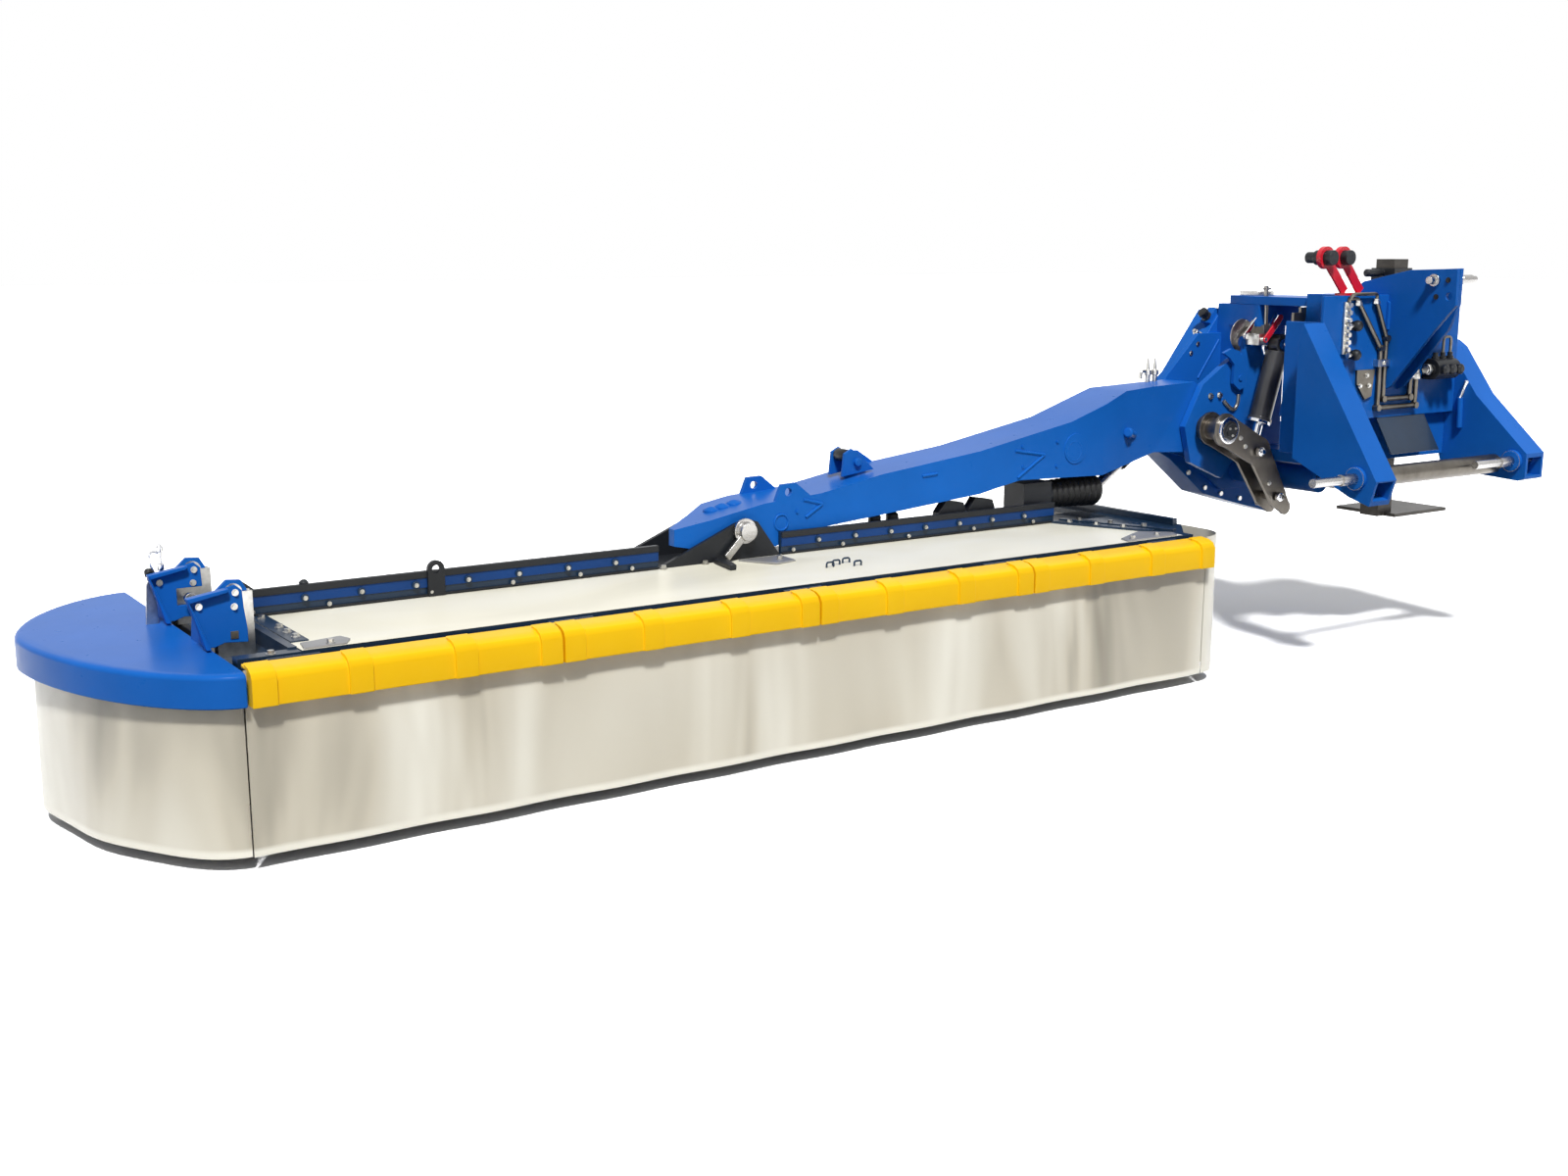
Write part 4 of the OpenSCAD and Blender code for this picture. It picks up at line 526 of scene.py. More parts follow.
turned(work, (0.460, 0.211, 0.306), (0.478, 0.211, 0.306), ((0, 0.020), (0.7, 0.020), (1, 0.012)), 6)
slab(work, oblong(0.062, 0.323, 0.128, 0.347), "y", 0.224, 0.246)
shaped("pipe_fittings", work, zinc, "headstock", 0.0008)
drilled_bracket = ((-0.030, 0.315), (0.062, 0.315), (0.052, 0.226), (0.020, 0.216), (-0.026, 0.268))
corner_plate = ((-0.080, 0.434), (0.003, 0.434), (0.003, 0.515), (-0.045, 0.515), (-0.045, 0.497),
                (-0.080, 0.497))
work = bmesh.new()
bent(work, ((-0.048, pipe_y, 0.540), (-0.050, pipe_y, 0.550), (-0.097, pipe_y, 0.550)), pipe_r)
bent(work, ((0.044, pipe_y, 0.544), (0.040, 0.230, 0.564), (-0.084, 0.230, 0.564), (-0.097, 0.236, 0.540)),
     pipe_r)
bent(work, ((0.386, 0.211, 0.350), (0.386, 0.211, 0.414), (0.426, 0.211, 0.414), (0.426, 0.211, 0.350)),
     0.005)
slab(work, drilled_bracket, "y", 0.237, 0.246)
slab(work, corner_plate, "y", 0.470, 0.480)
shaped("headstock_pipework", work, pipe, "headstock", 0.0006)
front = (0, -1, 0)
coupling_pitch = 0.024
bolts("coupling_bolts", [(-0.097, 0.236, 0.385 + coupling_pitch * i) for i in range(7)], front, zinc,
      "headstock", "zinc_steel", head_width=0.017, head_height=0.012, washer_width=0.022)
bolts("bracket_bolts", [(-0.012, 0.237, 0.262), (0.034, 0.237, 0.262), (0.095, 0.224, 0.335),
                        (0.020, 0.237, 0.296)],
      front, zinc, "headstock", "zinc_steel", head_width=0.012, head_height=0.005, washer_width=0.016)
bolts("mast_bolts", [(0.122, 0.065, 0.557), (0.122, 0.024, 0.611)], (-1, 0, 0), black, "headstock",
      "black_paint", head_width=0.013, head_height=0.004, washer_width=0.018)
chrome = surface("hard_chrome", (0.66, 0.67, 0.69), (0.84, 0.85, 0.87), 0.12, metal=1.0, spread=0.04)
work = bmesh.new()
turned(work, (0.507, 0.193, 0.262), (0.507, 0.216, 0.196),
       ((0, 0.004), (0.05, 0.008), (0.95, 0.008), (1, 0.006)), 14)
shaped("stop_lever_grip", work, chrome, "headstock")
work = bmesh.new()
bent(work, ((0.508, 0.215, 0.200), (0.508, 0.212, 0.150), (0.508, 0.210, 0.096)), 0.010)
slab(work, ((0.236, 0.445), (0.246, 0.440), (0.246, 0.540), (0.236, 0.535)), "x", 0.112, 0.122)
shaped("stop_lever_arm", work, blue, "headstock", 0.001)

# Turret: the welded frame in blue that swings on the upright pin and carries the belt drive and the arm.
# A fold and a rod on its casing, the belt tensioner and the guard's fittings are bolted on it.
for name in ("turret_frame", "drive_casing", "arm_guide", "transport_hook"):
    dress(name, blue, 0.003)
for name in ("input_shaft", "output_shaft", "shaft_slider"):
    dress(name, steel, 0.0015)
work = bmesh.new()
bent(work, ((0.030, 0.897, 0.385), (-0.072, 0.897, 0.249)), 0.005)
slab(work, ((-0.006, 0.448), (0.036, 0.500), (0.060, 0.487), (0.020, 0.440)), "y", 0.925, 0.960)
shaped("casing_folds", work, blue, "turret", 0.001)
belt_y = 0.938
work = bmesh.new()
slab(work, oblong(0.058, 0.918, 0.176, 0.960), "z", 0.487, 0.496)
turned(work, (0.105, belt_y, 0.494), (0.105, belt_y, 0.512),
       ((0, 0.006), (0.4, 0.006), (0.45, 0.011), (0.9, 0.011), (1, 0.007)), 12)
turned(work, (0.026, belt_y, 0.452), (-0.022, belt_y, 0.488),
       ((0, 0.007), (0.4, 0.007), (0.44, 0.020), (0.6, 0.016), (0.76, 0.020), (0.95, 0.018), (1, 0.010)), 10)
shaped("belt_guard_fittings", work, black, "turret", 0.0008)
work = bmesh.new()
turned(work, (-0.020, belt_y, 0.390), (-0.058, belt_y, 0.420),
       ((0, 0.016), (0.4, 0.016), (0.45, 0.011), (0.8, 0.011), (0.85, 0.007), (1, 0.007)), 8)
turned(work, (-0.040, belt_y, 0.386), (-0.080, belt_y, 0.336),
       ((0, 0.008), (0.1, 0.012), (0.55, 0.012), (0.6, 0.008), (0.9, 0.008), (1, 0.011)), 12)
shaped("belt_tensioner", work, zinc, "turret", 0.0006)
bolts("turret_bolts", [(-0.079, 0.896, 0.372), (-0.112, 0.896, 0.340)], front, zinc, "turret", "zinc_steel",
      head_width=0.014, head_height=0.002, washer_width=0.020, washer_height=0.001)
bolts("cheek_bolts", [(-0.194, 0.721, 0.203), (-0.149, 0.721, 0.204)], front, zinc, "turret", "zinc_steel",
      head_width=0.017, head_height=0.008, washer_width=0.024)

# Lock and shut-off valve in front of the turret: a grey hook plate, a threaded rod with its flat bar,
# and the valve's steel unions, all bolted to the turret's cheek.
lock_steel = surface("lock_steel", (0.20, 0.19, 0.175), (0.34, 0.325, 0.30), 0.34, metal=1.0, grain=9)
hook_x = -0.050
hook_front = 0.7178
hook_arcs = [(0.410, 0.058, math.radians(-32 + i * 12.4)) for i in range(25)]
hook_arcs += [(0.388, 0.020, math.radians(250 - i * 25)) for i in range(9)]
lock_bend = ((-0.129, 0.184), (-0.098, 0.158), (-0.076, 0.147), (-0.056, 0.168), (-0.054, 0.203))
work = bmesh.new()
slab(work, [(hook_x + r * math.cos(a), z + r * math.sin(a)) for z, r, a in hook_arcs], "y",
     hook_front, 0.7215)
slab(work, ((-0.030, 0.440), (0.050, 0.500), (0.060, 0.488), (0.010, 0.400)), "y", 0.709, 0.721)
bent(work, [(x, hook_front, z) for x, z in lock_bend], 0.007)
shaped("lock_plate", work, lock_steel, "turret", 0.001)
valve_y = 0.690
thread = [(i / 40, 0.0075 if i % 2 else 0.0085) for i in range(41)]
work = bmesh.new()
turned(work, (0.036, valve_y, 0.440), (0.030, valve_y, 0.582), thread, 12)
turned(work, (0.016, valve_y, 0.572), (0.052, valve_y, 0.572), ((0, 0.004), (1, 0.004)), 8)
slab(work, oblong(0.012, 0.398, 0.066, 0.446), "y", 0.676, 0.722)
shaped("lock_rod", work, lock_steel, "turret", 0.0006)
work = bmesh.new()
slab(work, ((0.036, 0.506), (0.046, 0.496), (-0.052, 0.402), (-0.062, 0.412)), "y", 0.700, 0.706)
turned(work, (0.058, valve_y, 0.440), (0.088, valve_y, 0.486),
       ((0, 0.014), (0.3, 0.014), (0.35, 0.010), (0.9, 0.012), (1, 0.006)), 14)
bent(work, ((0.040, valve_y, 0.404), (0.030, valve_y, 0.352), (0.082, valve_y, 0.324)), 0.011, 0.02, 12)
for (x, z), (x_end, z_end) in (((0.036, 0.392), (0.033, 0.372)), ((0.050, 0.342), (0.066, 0.333))):
    turned(work, (x, valve_y, z), (x_end, valve_y, z_end),
           ((0, 0.012), (0.1, 0.016), (0.9, 0.016), (1, 0.012)), 6)
turned(work, (hook_x, 0.704, 0.408), (hook_x, 0.696, 0.408), ((0, 0.012), (0.8, 0.012), (1, 0.008)), 14)
shaped("valve_unions", work, chrome, "turret", 0.0006)

# Arm: a welded channel in the same blue. Pressed ribs and rings stiffen its side; ears for the transport
# stay, a peg and three buttons are welded on it, with two plated breathers on the top.
dress("arm_beam", blue, 0.004)
arm_face = 0.690
arm_middle = 0.790
ribs = (((-1.121, 0.074), (-0.994, 0.053)), ((-0.994, 0.053), (-1.109, -0.015)),
        ((-1.945, -0.017), (-1.877, -0.035)), ((-1.877, -0.035), (-1.938, -0.070)),
        ((-1.500, 0.020), (-1.440, 0.024)))
ear = ((-1.76, 0.030), (-1.752, 0.100), (-1.725, 0.114), (-1.690, 0.090), (-1.640, 0.046))
work = bmesh.new()
for line in ribs:
    bent(work, [(x, arm_face, z) for x, z in line], 0.005)
for x, z, r in ((-2.025, -0.078, 0.024), (-0.864, 0.057, 0.032)):
    turns = [math.radians(k * 20) for k in range(18)]
    ring = [(x + r * math.cos(a), 0.6895, z + r * math.sin(a)) for a in turns]
    bent(work, ring + ring[:2], 0.0035, 0.004, 8)
for x, top in ((-2.204, -0.039), (-2.167, -0.032), (-2.126, -0.025)):
    turned(work, (x, arm_middle, top - 0.004), (x, arm_middle, top + 0.012),
           ((0, 0.026), (0.35, 0.025), (0.6, 0.020), (0.85, 0.011), (1, 0.004)))
turned(work, (-0.552, 0.730, 0.088), (-0.612, 0.700, 0.102),
       ((0, 0.012), (0.6, 0.012), (0.64, 0.017), (0.94, 0.017), (1, 0.012)))
for low, high in ((0.752, 0.762), (0.818, 0.828)):
    slab(work, ear, "y", low, high)
turned(work, (-1.706, 0.740, 0.072), (-1.706, 0.840, 0.072),
       ((0, 0.010), (0.02, 0.013), (0.98, 0.013), (1, 0.010)), 14)
shaped("arm_pressings", work, blue, "lift_arm", 0.0012)
work = bmesh.new()
turned(work, (-1.732, 0.763, 0.092), (-1.732, 0.817, 0.092),
       ((0, 0.016), (0.1, 0.019), (0.9, 0.019), (1, 0.016)))
shaped("guide_roller", work, black, "lift_arm")
breather_y = 0.872
work = bmesh.new()
for x in (-0.352, -0.318):
    turned(work, (x, breather_y, 0.248), (x, breather_y, 0.332),
           ((0, 0.010), (0.3, 0.010), (0.32, 0.014), (0.5, 0.014), (0.55, 0.006), (1, 0.003)), 10)
bent(work, ((-0.352, breather_y, 0.286), (-0.386, breather_y, 0.290), (-0.386, breather_y, 0.262)), 0.006)
shaped("arm_breathers", work, zinc, "lift_arm")
rivets = ((-1.969, -0.050), (-1.962, -0.118), (-1.090, 0.086), (-1.086, 0.020), (-0.940, 0.092),
          (-0.940, 0.012))
bolts("arm_rivets", [(x, arm_face, z) for x, z in rivets], front, blue, "lift_arm", "blue_paint",
      head_sides=12, head_width=0.010, head_height=0.002, washer_width=0.012)

# Lift cylinder: a painted barrel in gunmetal grey with a bright gland and a chromed rod between two
# steel crank plates. The crank turns on the lift pin, under a black nut and a polished ring.
gunmetal = surface("gunmetal_paint", (0.055, 0.055, 0.057), (0.090, 0.090, 0.094), 0.30, metal=0.4)
crank_steel = surface("crank_steel", (0.105, 0.094, 0.080), (0.20, 0.182, 0.158), 0.34, metal=0.9, grain=6)
dress("lift_barrel", gunmetal, 0.0015)
dress("lift_rod", chrome, 0.001)
dress("lift_pin", chrome, 0.0015)
dress("crank_plates", crank_steel, 0.0025)
lift_x, lift_z = -0.214, 0.093
work = bmesh.new()
turned(work, (lift_x, 0.612, lift_z), (lift_x, 0.594, lift_z),
       ((0, 0.034), (0.6, 0.034), (0.65, 0.026), (1, 0.024)), 8)
shaped("crank_nut", work, black, "lift_arm", 0.001)
work = bmesh.new()
turned(work, (lift_x, 0.613, lift_z), (lift_x, 0.605, lift_z), ((0, 0.047), (0.7, 0.047), (1, 0.043)), 32)
for x, z in ((-0.049, 0.009), (0.064, -0.161)):
    turned(work, (x, 0.616, z), (x, 0.592, z), ((0, 0.016), (0.6, 0.016), (0.65, 0.011), (1, 0.009)), 16)
shaped("crank_ring", work, chrome, "lift_arm", 0.0008)
bolts("crank_screws", [(-0.141, 0.622, 0.061), (-0.115, 0.622, 0.030), (0.020, 0.622, -0.110)], front, zinc,
      "lift_arm", "zinc_steel", head_width=0.012, head_height=0.005, washer_width=0.017)
screw_r = 0.016
bolts("crank_nut_screws", [(lift_x + screw_r * math.cos(a), 0.594, lift_z + screw_r * math.sin(a))
                           for a in (0.5, 2.6, 4.7)],
      front, zinc, "lift_arm", "zinc_steel", head_width=0.007, head_height=0.003, washer_width=0.009)
barrel_top = Vector((0.079, 0.662, 0.377))
barrel_foot = Vector((-0.0185, 0.662, 0.093))
work = bmesh.new()
turned(work, barrel_top.lerp(barrel_foot, 0.925), barrel_top.lerp(barrel_foot, 0.97),
       ((0, 0.0425), (0.1, 0.045), (0.9, 0.045), (1, 0.040)), 28)
turned(work, (0.079, 0.622, 0.377), (0.079, 0.606, 0.377),
       ((0, 0.022), (0.3, 0.022), (0.32, 0.015), (1, 0.013)), 6)
shaped("cylinder_ring", work, chrome, "lift_barrel", 0.0008)

# Cutter bed and discs: rolled and pressed steel, dull with use, with the knives at the rims of the
# discs. The bed is fixed under the bar, and each disc turns on its own body.
bed_steel = surface("bed_steel", (0.085, 0.081, 0.077), (0.165, 0.158, 0.150), 0.42, metal=0.7, grain=6)
dress("cutter_bed", bed_steel, 0.001)
for k in range(8):
    dress("disc_%d" % (k + 1), bed_steel, 0.001)

# Bumper: hollow mouldings in yellow plastic end to end along the front edge, with raised bands.
# They are fixed on the front guard's bar and lift with it.
yellow = surface("yellow_plastic", (0.96, 0.55, 0.003), (1.0, 0.60, 0.004), 0.34, bump=0.06, fine=600,
                 shine=0.2)
dress("bumper", yellow, 0.004)

# End cap: a blue moulding over the outer end of the bar, folded up by two levers. Each lever is a blue
# plate with turned-over edges and plated bolts, and a spring latch stands behind the far one.
dress("end_cap", blue, 0.014)
dress("end_levers", blue, 0.002)
near_lever, far_lever = 0.424, 0.764
near_side = ((-3.682, -0.090), (-3.676, -0.140))
pin_slot = ((-3.682, -0.097), (-3.744, -0.097), (-3.744, -0.139), (-3.676, -0.139))
edge_folds = (((-3.812, -0.056), (-3.806, -0.066), (-3.764, -0.178), (-3.776, -0.178)),
              ((-3.812, -0.056), (-3.806, -0.066), (-3.721, -0.050), (-3.718, -0.041)))
work = bmesh.new()
for y, side in ((near_lever, near_side), (far_lever, pin_slot)):
    slab(work, ((-3.806, -0.058), (-3.721, -0.042), (-3.700, -0.036), (-3.684, -0.050), *side,
                (-3.676, -0.172), (-3.729, -0.168), (-3.752, -0.176), (-3.772, -0.176)), "y",
         y - 0.004, y + 0.003)
    for fold in edge_folds:
        slab(work, fold, "y", y - 0.020, y + 0.003)
shaped("lever_plates", work, blue, "end_guard", 0.0018)
bolts("lever_bolts", [(x, y - 0.004, z) for y in (near_lever, far_lever)
                      for x, z in ((-3.783, -0.078), (-3.704, -0.086), (-3.700, -0.054))],
      front, zinc, "end_guard", "zinc_steel", head_width=0.011, head_height=0.005, washer_width=0.016)
work = bmesh.new()
for y in (near_lever, far_lever):
    slab(work, oblong(-3.716, -0.143, -3.698, -0.161), "y", y - 0.006, y - 0.003)
shaped("lever_stops", work, pipe, "end_guard", 0.0005)
latch_x, latch_y = -3.770, 0.790
work = bmesh.new()
turned(work, (latch_x, latch_y, -0.120), (latch_x, latch_y, 0.012),
       ((0, 0.005), (0.5, 0.005), (0.52, 0.009), (0.62, 0.009), (0.64, 0.005), (0.85, 0.005), (0.87, 0.009),
        (0.93, 0.009), (1, 0.003)), 12)
latch_clip = ((latch_x, -0.010), (-3.792, -0.004), (-3.798, -0.024), (-3.786, -0.060))
bent(work, [(x, latch_y, z) for x, z in latch_clip], 0.003)
shaped("spring_latch", work, chrome, "end_guard")
work = bmesh.new()
slab(work, ((-3.814, -0.184), (-3.808, -0.085), (-3.798, -0.070), (-3.788, -0.075), (-3.784, -0.184)), "y",
     0.786, 0.794)
shaped("latch_plate", work, zinc, "end_guard", 0.0008)
work = bmesh.new()
turned(work, (-3.799, latch_y, -0.076), (-3.799, latch_y, -0.046),
       ((0, 0.005), (0.3, 0.005), (0.35, 0.010), (0.8, 0.011), (1, 0.006)), 14)
shaped("lever_knob", work, black, "end_guard", 0.0008)


# Front, end, rear and inner skirts: coated cloth in cream, hung from the guards and the frame in slow
# waves. Each is one sheet with a paler hem; broad light and dark streaks in its colour are painted reflection,
# standing for the coating's sheen.
def cloth_finish(name, low, mid, high, streak, rough):
    """A coated cloth whose colour carries painted reflection as sheen streaks between three colours, with a
    fine weave, soft buckles and a paler hem.
    """
    made, tree, shader = blank(name)
    for label, value in (("Sheen Weight", 0.1), ("Coat Weight", 0.25), ("Coat Roughness", 0.25)):
        shader.inputs[label].default_value = value
    place = node(tree, "TexCoord")
    streaked = node(tree, "Mapping", Scale=streak)
    # painted reflection: this noise paints the coating's sheen as light and dark streaks in the base colour,
    # and also varies its gloss
    painted_sheen_streaks = node(tree, "TexNoise", Scale=1.0, Detail=3.0, Roughness=0.5, Distortion=1.1)
    tone = ramp(tree, (0.36, low), (0.47, mid), (0.64, high))
    weave = node(tree, "TexNoise", Scale=700.0, Detail=1.0)
    buckle = node(tree, "TexNoise", Scale=9.0, Detail=3.0)
    fine = node(tree, "Bump", Strength=0.04, Distance=0.001)
    soft = node(tree, "Bump", Strength=0.10, Distance=0.01)
    gloss = node(tree, "MapRange", From_Min=0.3, From_Max=0.7, To_Min=rough - 0.06, To_Max=rough + 0.08)
    height = node(tree, "SeparateXYZ")
    hem_top, hem_full = -0.588, -0.598
    hem = node(tree, "MapRange", From_Min=hem_top, From_Max=hem_full)
    hemmed = blend(tree, hem.outputs["Result"], tone.outputs["Color"], high)
    wire(tree,
         (place.outputs["Object"], streaked.inputs["Vector"]),
         (place.outputs["Object"], weave.inputs["Vector"]),
         (place.outputs["Object"], buckle.inputs["Vector"]),
         (place.outputs["Object"], height.inputs["Vector"]),
         (streaked.outputs["Vector"], painted_sheen_streaks.inputs["Vector"]),
         (painted_sheen_streaks.outputs["Fac"], tone.inputs["Fac"]),
         (height.outputs["Z"], hem.inputs["Value"]),
         (hemmed, shader.inputs["Base Color"]),
         (painted_sheen_streaks.outputs["Fac"], gloss.inputs["Value"]),
         (gloss.outputs["Result"], shader.inputs["Roughness"]),
         (buckle.outputs["Fac"], soft.inputs["Height"]),
         (soft.outputs["Normal"], fine.inputs["Normal"]),
         (weave.outputs["Fac"], fine.inputs["Height"]),
         (fine.outputs["Normal"], shader.inputs["Normal"]))
    return made


def grid(name, columns, rows, at, flip=False):
    """A mesh of columns by rows faces, with corner (i, j) at the point at(i, j)."""
    row = rows + 1
    corners = (0, row, row + 1, 1) if flip else (0, 1, row + 1, row)
    mesh = bpy.data.meshes.new(name)
    mesh.from_pydata([at(i, j) for i in range(columns + 1) for j in range(row)], [],
                     [[i * row + j + c for c in corners] for i in range(columns) for j in range(rows)])
    return mesh


def thickened(mesh, thickness, offset):
    """A mesh with a wall of a thickness."""
    held = hold(mesh)
    wall = held.modifiers.new("wall", "SOLIDIFY")
    wall.thickness = thickness
    wall.offset = offset
    return applied(held)


# the dark and the light colour here are painted reflection, the streaks of the coating's sheen; the middle one
# is the cloth's own cream
skirt_cloth = cloth_finish("coated_skirt_cloth", (0.29, 0.26, 0.195), (0.66, 0.61, 0.49), (0.97, 0.94, 0.82),
                           (1.7, 1.7, 0.6), 0.34)
z_low = -0.610
wave_length = 0.33
ripple_depth = 0.0025
calm_edge = 0.12
cloth_thickness = 0.003
face_width = 0.018


def hang(name, path, z_top, z_hem, amp, body, replaced):
    """A sheet that hangs along a path, flat down to z_hem and waving more towards its lower edge."""
    run = [0.0]
    for a, b in zip(path, path[1:]):
        run.append(run[-1] + (Vector(b) - Vector(a)).length)
    total = run[-1]
    across = max(60, int(total / face_width))
    down = 26
    line = []
    for i in range(across + 1):
        s = total * i / across
        k = max(0, min(len(path) - 2, sum(1 for r in run[1:-1] if r <= s)))
        u = (s - run[k]) / max(1e-9, run[k + 1] - run[k])
        p = Vector(path[k]).lerp(Vector(path[k + 1]), u)
        before = Vector(path[max(0, k - 1 if u < 0.5 else k)])
        after = Vector(path[min(len(path) - 1, k + 1 if u < 0.5 else k + 2)])
        along = (after - before).normalized()
        line.append((s, p, Vector((-along.y, along.x))))

    def at(i, j):
        s, p, side = line[i]
        z = z_top + (z_low - z_top) * (j / down)
        drop = max(0.0, (z_hem - z) / (z_hem - z_low))
        edge = min(1.0, s / calm_edge, (total - s) / calm_edge)
        swing = amp * min(1.0, drop * 1.2) * math.sin(2 * math.pi * s / wave_length)
        ripple = ripple_depth * drop * edge * noise.noise(Vector((s * 3.1, z * 2.0, 0.7)))
        offset = swing + ripple
        return p.x + side.x * offset, p.y + side.y * offset, z

    full = thickened(grid(name, across, down, at), cloth_thickness, 0)
    made = piece(name, finished(full, 0, skirt_cloth), body)
    if replaced:
        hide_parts(replaced)
    return made


hang("front_skirt_cloth", [(-3.7560, 0.200), (-0.7571, 0.200)], -0.184, -0.262, 0.003, "front_guard",
     "front_skirt")
cap_x, cap_y = -3.7575, 0.806
cap_front, cap_back, cap_depth = 0.636, 0.449, 0.349
cap_inset = 0.038
cap_power = 2 / 1.7
cap_path = []
for i in range(33):
    t = math.radians(i * 180 / 32)
    reach = (cap_front if math.cos(t) > 0 else cap_back) - cap_inset
    cap_path.append((cap_x - (cap_depth - cap_inset) * abs(math.sin(t)) ** cap_power,
                     cap_y - math.copysign(reach * abs(math.cos(t)) ** cap_power, math.cos(t))))
hang("end_skirt_cloth", cap_path, -0.189, -0.267, 0.004, "end_guard", "end_skirt")
hang("rear_skirt_cloth", [(-3.7501, 1.024), (-0.6391, 1.024)], -0.242, -0.246, 0.003, "mower_bar",
     "skirt_panels")
corner_x, corner_y, corner_r = -0.752, 0.317, 0.115
inner_path = [(corner_x, 0.202)]
for i in range(1, 9):
    t = math.radians(i * 90 / 9)
    inner_path.append((corner_x + corner_r * math.sin(t), corner_y - corner_r * math.cos(t)))
inner_path += [(-0.637, y) for y in (corner_y, 0.66, 1.022)]
hang("inner_skirt_cloth", inner_path, -0.172, -0.2, 0.0, "mower_bar", None)

# Canopy cloth: one cream sheet stretched over the frame's arms between the front rail and the beam,
# held along its edges; it dips a little between the arms.
# the canopy cloth carries the same painted reflection streaks of the sheen, fainter
canvas_cloth = cloth_finish("coated_canopy_cloth", (0.87, 0.83, 0.67), (0.93, 0.89, 0.73), (0.96, 0.93, 0.80),
                            (1.1, 2.4, 1.0), 0.42)
canvas_left = -3.6051
canvas_front, canvas_back = 0.258, 0.672
right_front, right_back, askew_from = -0.798, -0.963, 0.298
canvas_top = -0.170
canvas_dip = 0.004
held_at = (canvas_left, -3.2088, -2.6011, -1.9670, -1.3594, -0.88)
columns, rows = 150, 20


def canvas_point(i, j):
    """A point of the canopy cloth, whose right end is cut askew."""
    v = j / rows
    y = canvas_front + (canvas_back - canvas_front) * v
    askew = max(0.0, (y - askew_from) / (canvas_back - askew_from))
    right = right_front + (right_back - right_front) * askew
    x = canvas_left + (right - canvas_left) * i / columns
    span = next(((a, b) for a, b in zip(held_at, held_at[1:]) if a <= x <= b), held_at[-2:])
    u = min(1.0, max(0.0, (x - span[0]) / (span[1] - span[0])))
    dip = canvas_dip * math.sin(math.pi * u) ** 2 * math.sin(math.pi * min(1, max(0, (v - 0.1) / 0.9)))
    return x, y, canvas_top - dip


canvas_mesh = grid("canopy_cloth", columns, rows, canvas_point, flip=True)
canvas = piece("canopy_cloth", finished(canvas_mesh, 0, canvas_cloth), "mower_bar")
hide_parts("canopy_canvas")

# Boot: a ribbed sleeve in black rubber over the joint where the drive shaft enters the bar's gearbox.
# It is turned as one thin wall, and its wider end is fixed on the gearbox.
rubber = surface("boot_rubber", (0.010, 0.010, 0.010), (0.020, 0.020, 0.020), 0.55, bump=0.2, fine=700)
boot_x, boot_y, boot_z = -0.9251, 0.760, -0.090
boot_length, boot_width, boot_flare = 0.218, 0.070, 0.018
boot_ribs = 9
rib_height, rib_power = 0.006, 1.4
boot_sides, boot_steps = 40, 108
boot_verts, boot_faces = [], []
for i in range(boot_steps + 1):
    h = i / boot_steps
    rib = (0.5 - 0.5 * math.cos(2 * math.pi * boot_ribs * h)) ** rib_power
    r = (boot_width + boot_flare * h) / 2 + rib_height * rib
    for k in range(boot_sides):
        a = 2 * math.pi * k / boot_sides
        boot_verts.append((boot_x + boot_length * h, boot_y + r * math.cos(a), boot_z + r * math.sin(a)))
for i in range(boot_steps):
    for k in range(boot_sides):
        a, b = i * boot_sides + k, i * boot_sides + (k + 1) % boot_sides
        boot_faces.append((a, a + boot_sides, b + boot_sides, b))
boot_mesh = bpy.data.meshes.new("boot")
boot_mesh.from_pydata(boot_verts, [], boot_faces)
boot_wall = 0.005
boot_full = thickened(boot_mesh, boot_wall, -1)
boot = piece("gearbox_boot_rubber", finished(boot_full, 0, rubber), "mower_bar")
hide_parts("gearbox_boot")

# Rear cover: the skirts' coated cloth laid flat behind the beam. One sheet is stretched from the beam
# to the top of the rear skirt, and rests on the frame.
cover_left, cover_front, cover_z = -3.750, 0.897, -0.2405
cover_length, cover_width = 3.111, 0.137


def cover_point(i, j):
    """A point of the rear cover, of 60 by 4 faces."""
    return cover_left + cover_length * i / 60, cover_front + cover_width * j / 4, cover_z


cover_mesh = grid("rear_cover", 60, 4, cover_point, flip=True)
cover = piece("rear_cover_cloth", finished(cover_mesh, 0, skirt_cloth), "mower_bar")

# Rail trim: a blue band and black edges along the cover rails, with small plated bolts, and the black
# posts and stops under the arm. The bar's own fittings are plated at its outer end and painted navy,
# like the rail, along it.
rail_spans = ((-3.6045, -2.452), (-2.037, -0.964))
rail_blue = surface("rail_blue", (0.004, 0.034, 0.140), (0.006, 0.048, 0.200), 0.34, shine=0.2)
work = bmesh.new()
for low, high in rail_spans:
    slab(work, oblong(low, -0.146, high, -0.120), "y", 0.669, 0.673)
shaped("rail_bands", work, rail_blue, "mower_bar", 0.0008)
post_y = 0.724
work = bmesh.new()
for low, high in rail_spans:
    slab(work, oblong(low, -0.120, high, -0.1025), "y", 0.666, 0.680)
    slab(work, oblong(low, -0.168, high, -0.163), "y", 0.664, 0.673)
bent(work, ((-3.589, 0.676, -0.107), (-3.623, 0.676, -0.080)), 0.009)
turned(work, (-3.457, 0.680, -0.108), (-3.457, 0.680, -0.092), ((0, 0.012), (0.6, 0.012), (1, 0.006)), 12)
slab(work, ((-2.289, 0.552), (-2.268, 0.552), (-2.240, 0.640), (-2.250, 0.662), (-2.276, 0.662)), "z",
     -0.172, -0.158)
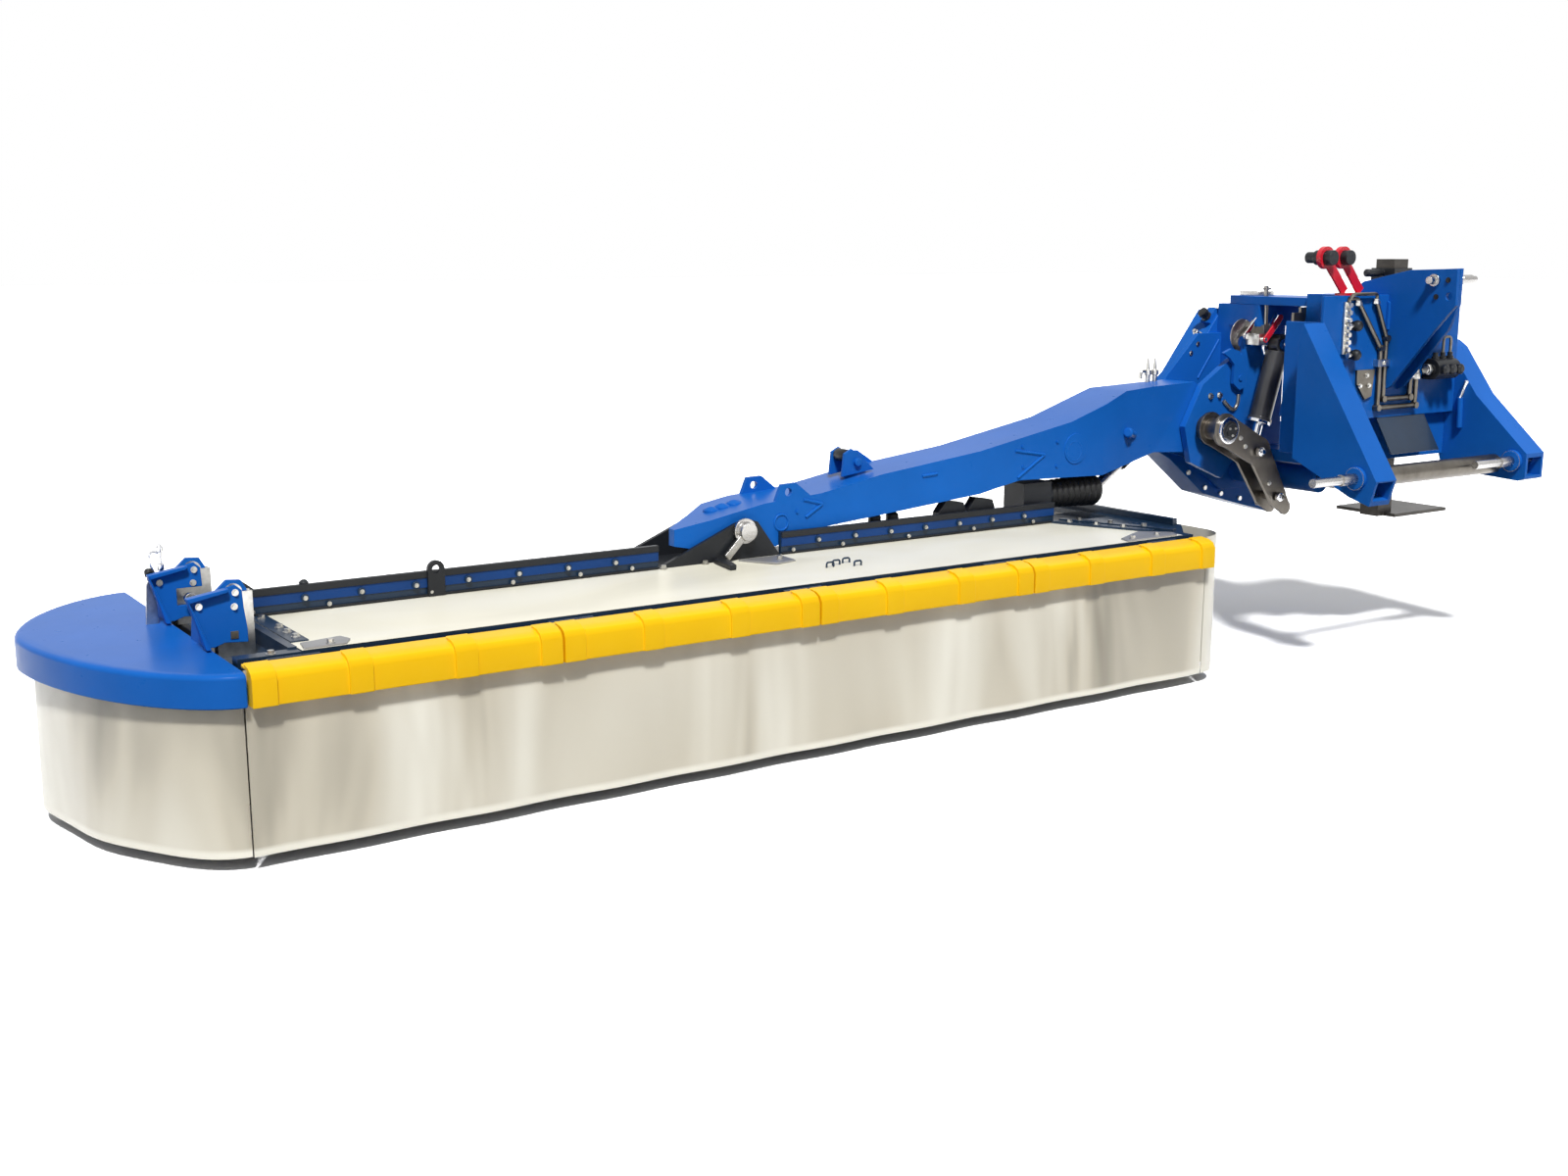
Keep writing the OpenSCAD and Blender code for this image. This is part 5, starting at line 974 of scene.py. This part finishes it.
for x in (-1.905, -1.657, -1.589):
    turned(work, (x, post_y, -0.192), (x, post_y, -0.085),
           ((0, 0.017), (0.55, 0.017), (0.6, 0.021), (0.9, 0.020), (1, 0.010)), 14)
for x in (-1.420, -1.300):
    slab(work, ((x, -0.192), (x + 0.110, -0.192), (x + 0.110, -0.104), (x + 0.100, -0.078),
                (x + 0.030, -0.066), (x, -0.104)), "y", 0.703, 0.735)
shaped("rail_trim", work, black, "mower_bar", 0.001)
plated_to, painted_from = -3.64, -3.62
rail_navy = (0.010, 0.030, 0.070)
fittings = zinc.copy()
fittings.name = "zinc_fittings"
fitting_tree = fittings.node_tree
fitting_bsdf = fitting_tree.nodes["Principled BSDF"]
fitting_place = node(fitting_tree, "TexCoord")
fitting_split = node(fitting_tree, "SeparateXYZ")
painted = node(fitting_tree, "MapRange", From_Min=plated_to, From_Max=painted_from)
plated = node(fitting_tree, "MapRange", From_Min=painted_from, From_Max=plated_to)
zinc_tone = fitting_bsdf.inputs["Base Color"].links[0].from_socket
fitting_tone = blend(fitting_tree, painted.outputs["Result"], zinc_tone, rail_navy)
wire(fitting_tree,
     (fitting_place.outputs["Object"], fitting_split.inputs["Vector"]),
     (fitting_split.outputs["X"], painted.inputs["Value"]),
     (fitting_split.outputs["X"], plated.inputs["Value"]),
     (fitting_tone, fitting_bsdf.inputs["Base Color"]),
     (plated.outputs["Result"], fitting_bsdf.inputs["Metallic"]))
dress("bar_fittings", fittings, 0.001)
high_row = (-3.460, -3.315, -3.170, -3.026, -2.881, -2.736, -2.591, -1.908, -1.773, -1.638, -1.503, -1.368,
            -1.233, -1.098)
low_row = (-3.592, -3.400, -3.130, -2.900, -2.700, -2.540, -2.000, -1.820, -1.570, -1.310, -1.060)
bolts("rail_bolts", [(x, 0.663, -0.136) for x in high_row] + [(x, 0.664, -0.157) for x in low_row], front,
      zinc, "mower_bar", "zinc_steel", head_width=0.009, head_height=0.004, washer_width=0.012)

# Canopy fixings: grey clamp plates at the corners of the cloth, navy edging along its ends with the
# hooks in its middle, and plated screws through them into the frame.
clamp_grey = surface("clamp_plate", (0.28, 0.28, 0.285), (0.38, 0.38, 0.385), 0.4, metal=0.5, grain=8)
clamp_foot, clamp_top = -0.171, -0.1655
work = bmesh.new()
for outline in (((-3.600, 0.262), (-3.500, 0.262), (-3.478, 0.300), (-3.489, 0.338), (-3.590, 0.318)),
                ((-1.035, 0.262), (-0.820, 0.262), (-0.800, 0.300), (-0.880, 0.372), (-1.020, 0.305)),
                ((-2.200, 0.650), (-2.132, 0.548), (-2.062, 0.560), (-2.055, 0.650))):
    slab(work, outline, "z", clamp_foot, clamp_top)
shaped("clamp_plates", work, clamp_grey, "mower_bar", 0.001)
strip_top, edging_top = -0.1665, -0.163
half_edging = 0.014
work = bmesh.new()
slab(work, oblong(-3.603, 0.346, -3.560, 0.668), "z", clamp_foot, strip_top)
for a, b in (((-0.968, 0.668), (-0.830, 0.355)), ((-0.915, 0.690), (-0.760, 0.330))):
    across = Vector((b[1] - a[1], a[0] - b[0])).normalized() * half_edging
    slab(work, [(a[0] + across.x, a[1] + across.y), (b[0] + across.x, b[1] + across.y),
                (b[0] - across.x, b[1] - across.y), (a[0] - across.x, a[1] - across.y)], "z",
         -0.173, edging_top)
hook_foot, hook_top = -0.172, -0.156
for x, y in ((-2.034, 0.428), (-2.000, 0.446), (-1.957, 0.458), (-1.955, 0.404)):
    bent(work, ((x - 0.012, y, hook_foot), (x - 0.012, y, hook_top), (x + 0.012, y, hook_top),
                (x + 0.012, y, hook_foot)), 0.003, 0.006, 8)
shaped("canopy_edging", work, navy, "mower_bar", 0.0008)
canopy_screws = [(-3.582, 0.629, strip_top), (-3.578, 0.504, strip_top), (-3.579, 0.442, strip_top),
                 (-3.578, 0.384, strip_top), (-3.532, 0.280, clamp_top), (-3.672, 0.271, -0.172),
                 (-2.439, 0.664, -0.168), (-2.301, 0.666, -0.168), (-2.090, 0.600, clamp_top),
                 (-0.990, 0.285, clamp_top), (-0.880, 0.290, clamp_top), (-0.945, 0.615, edging_top),
                 (-0.908, 0.530, edging_top), (-0.870, 0.446, edging_top), (-0.888, 0.630, edging_top),
                 (-0.845, 0.530, edging_top), (-0.800, 0.425, edging_top)]
bolts("canopy_bolts", canopy_screws, (0, 0, 1), zinc, "mower_bar", "zinc_steel", head_width=0.016,
      head_height=0.007, washer_width=0.022)
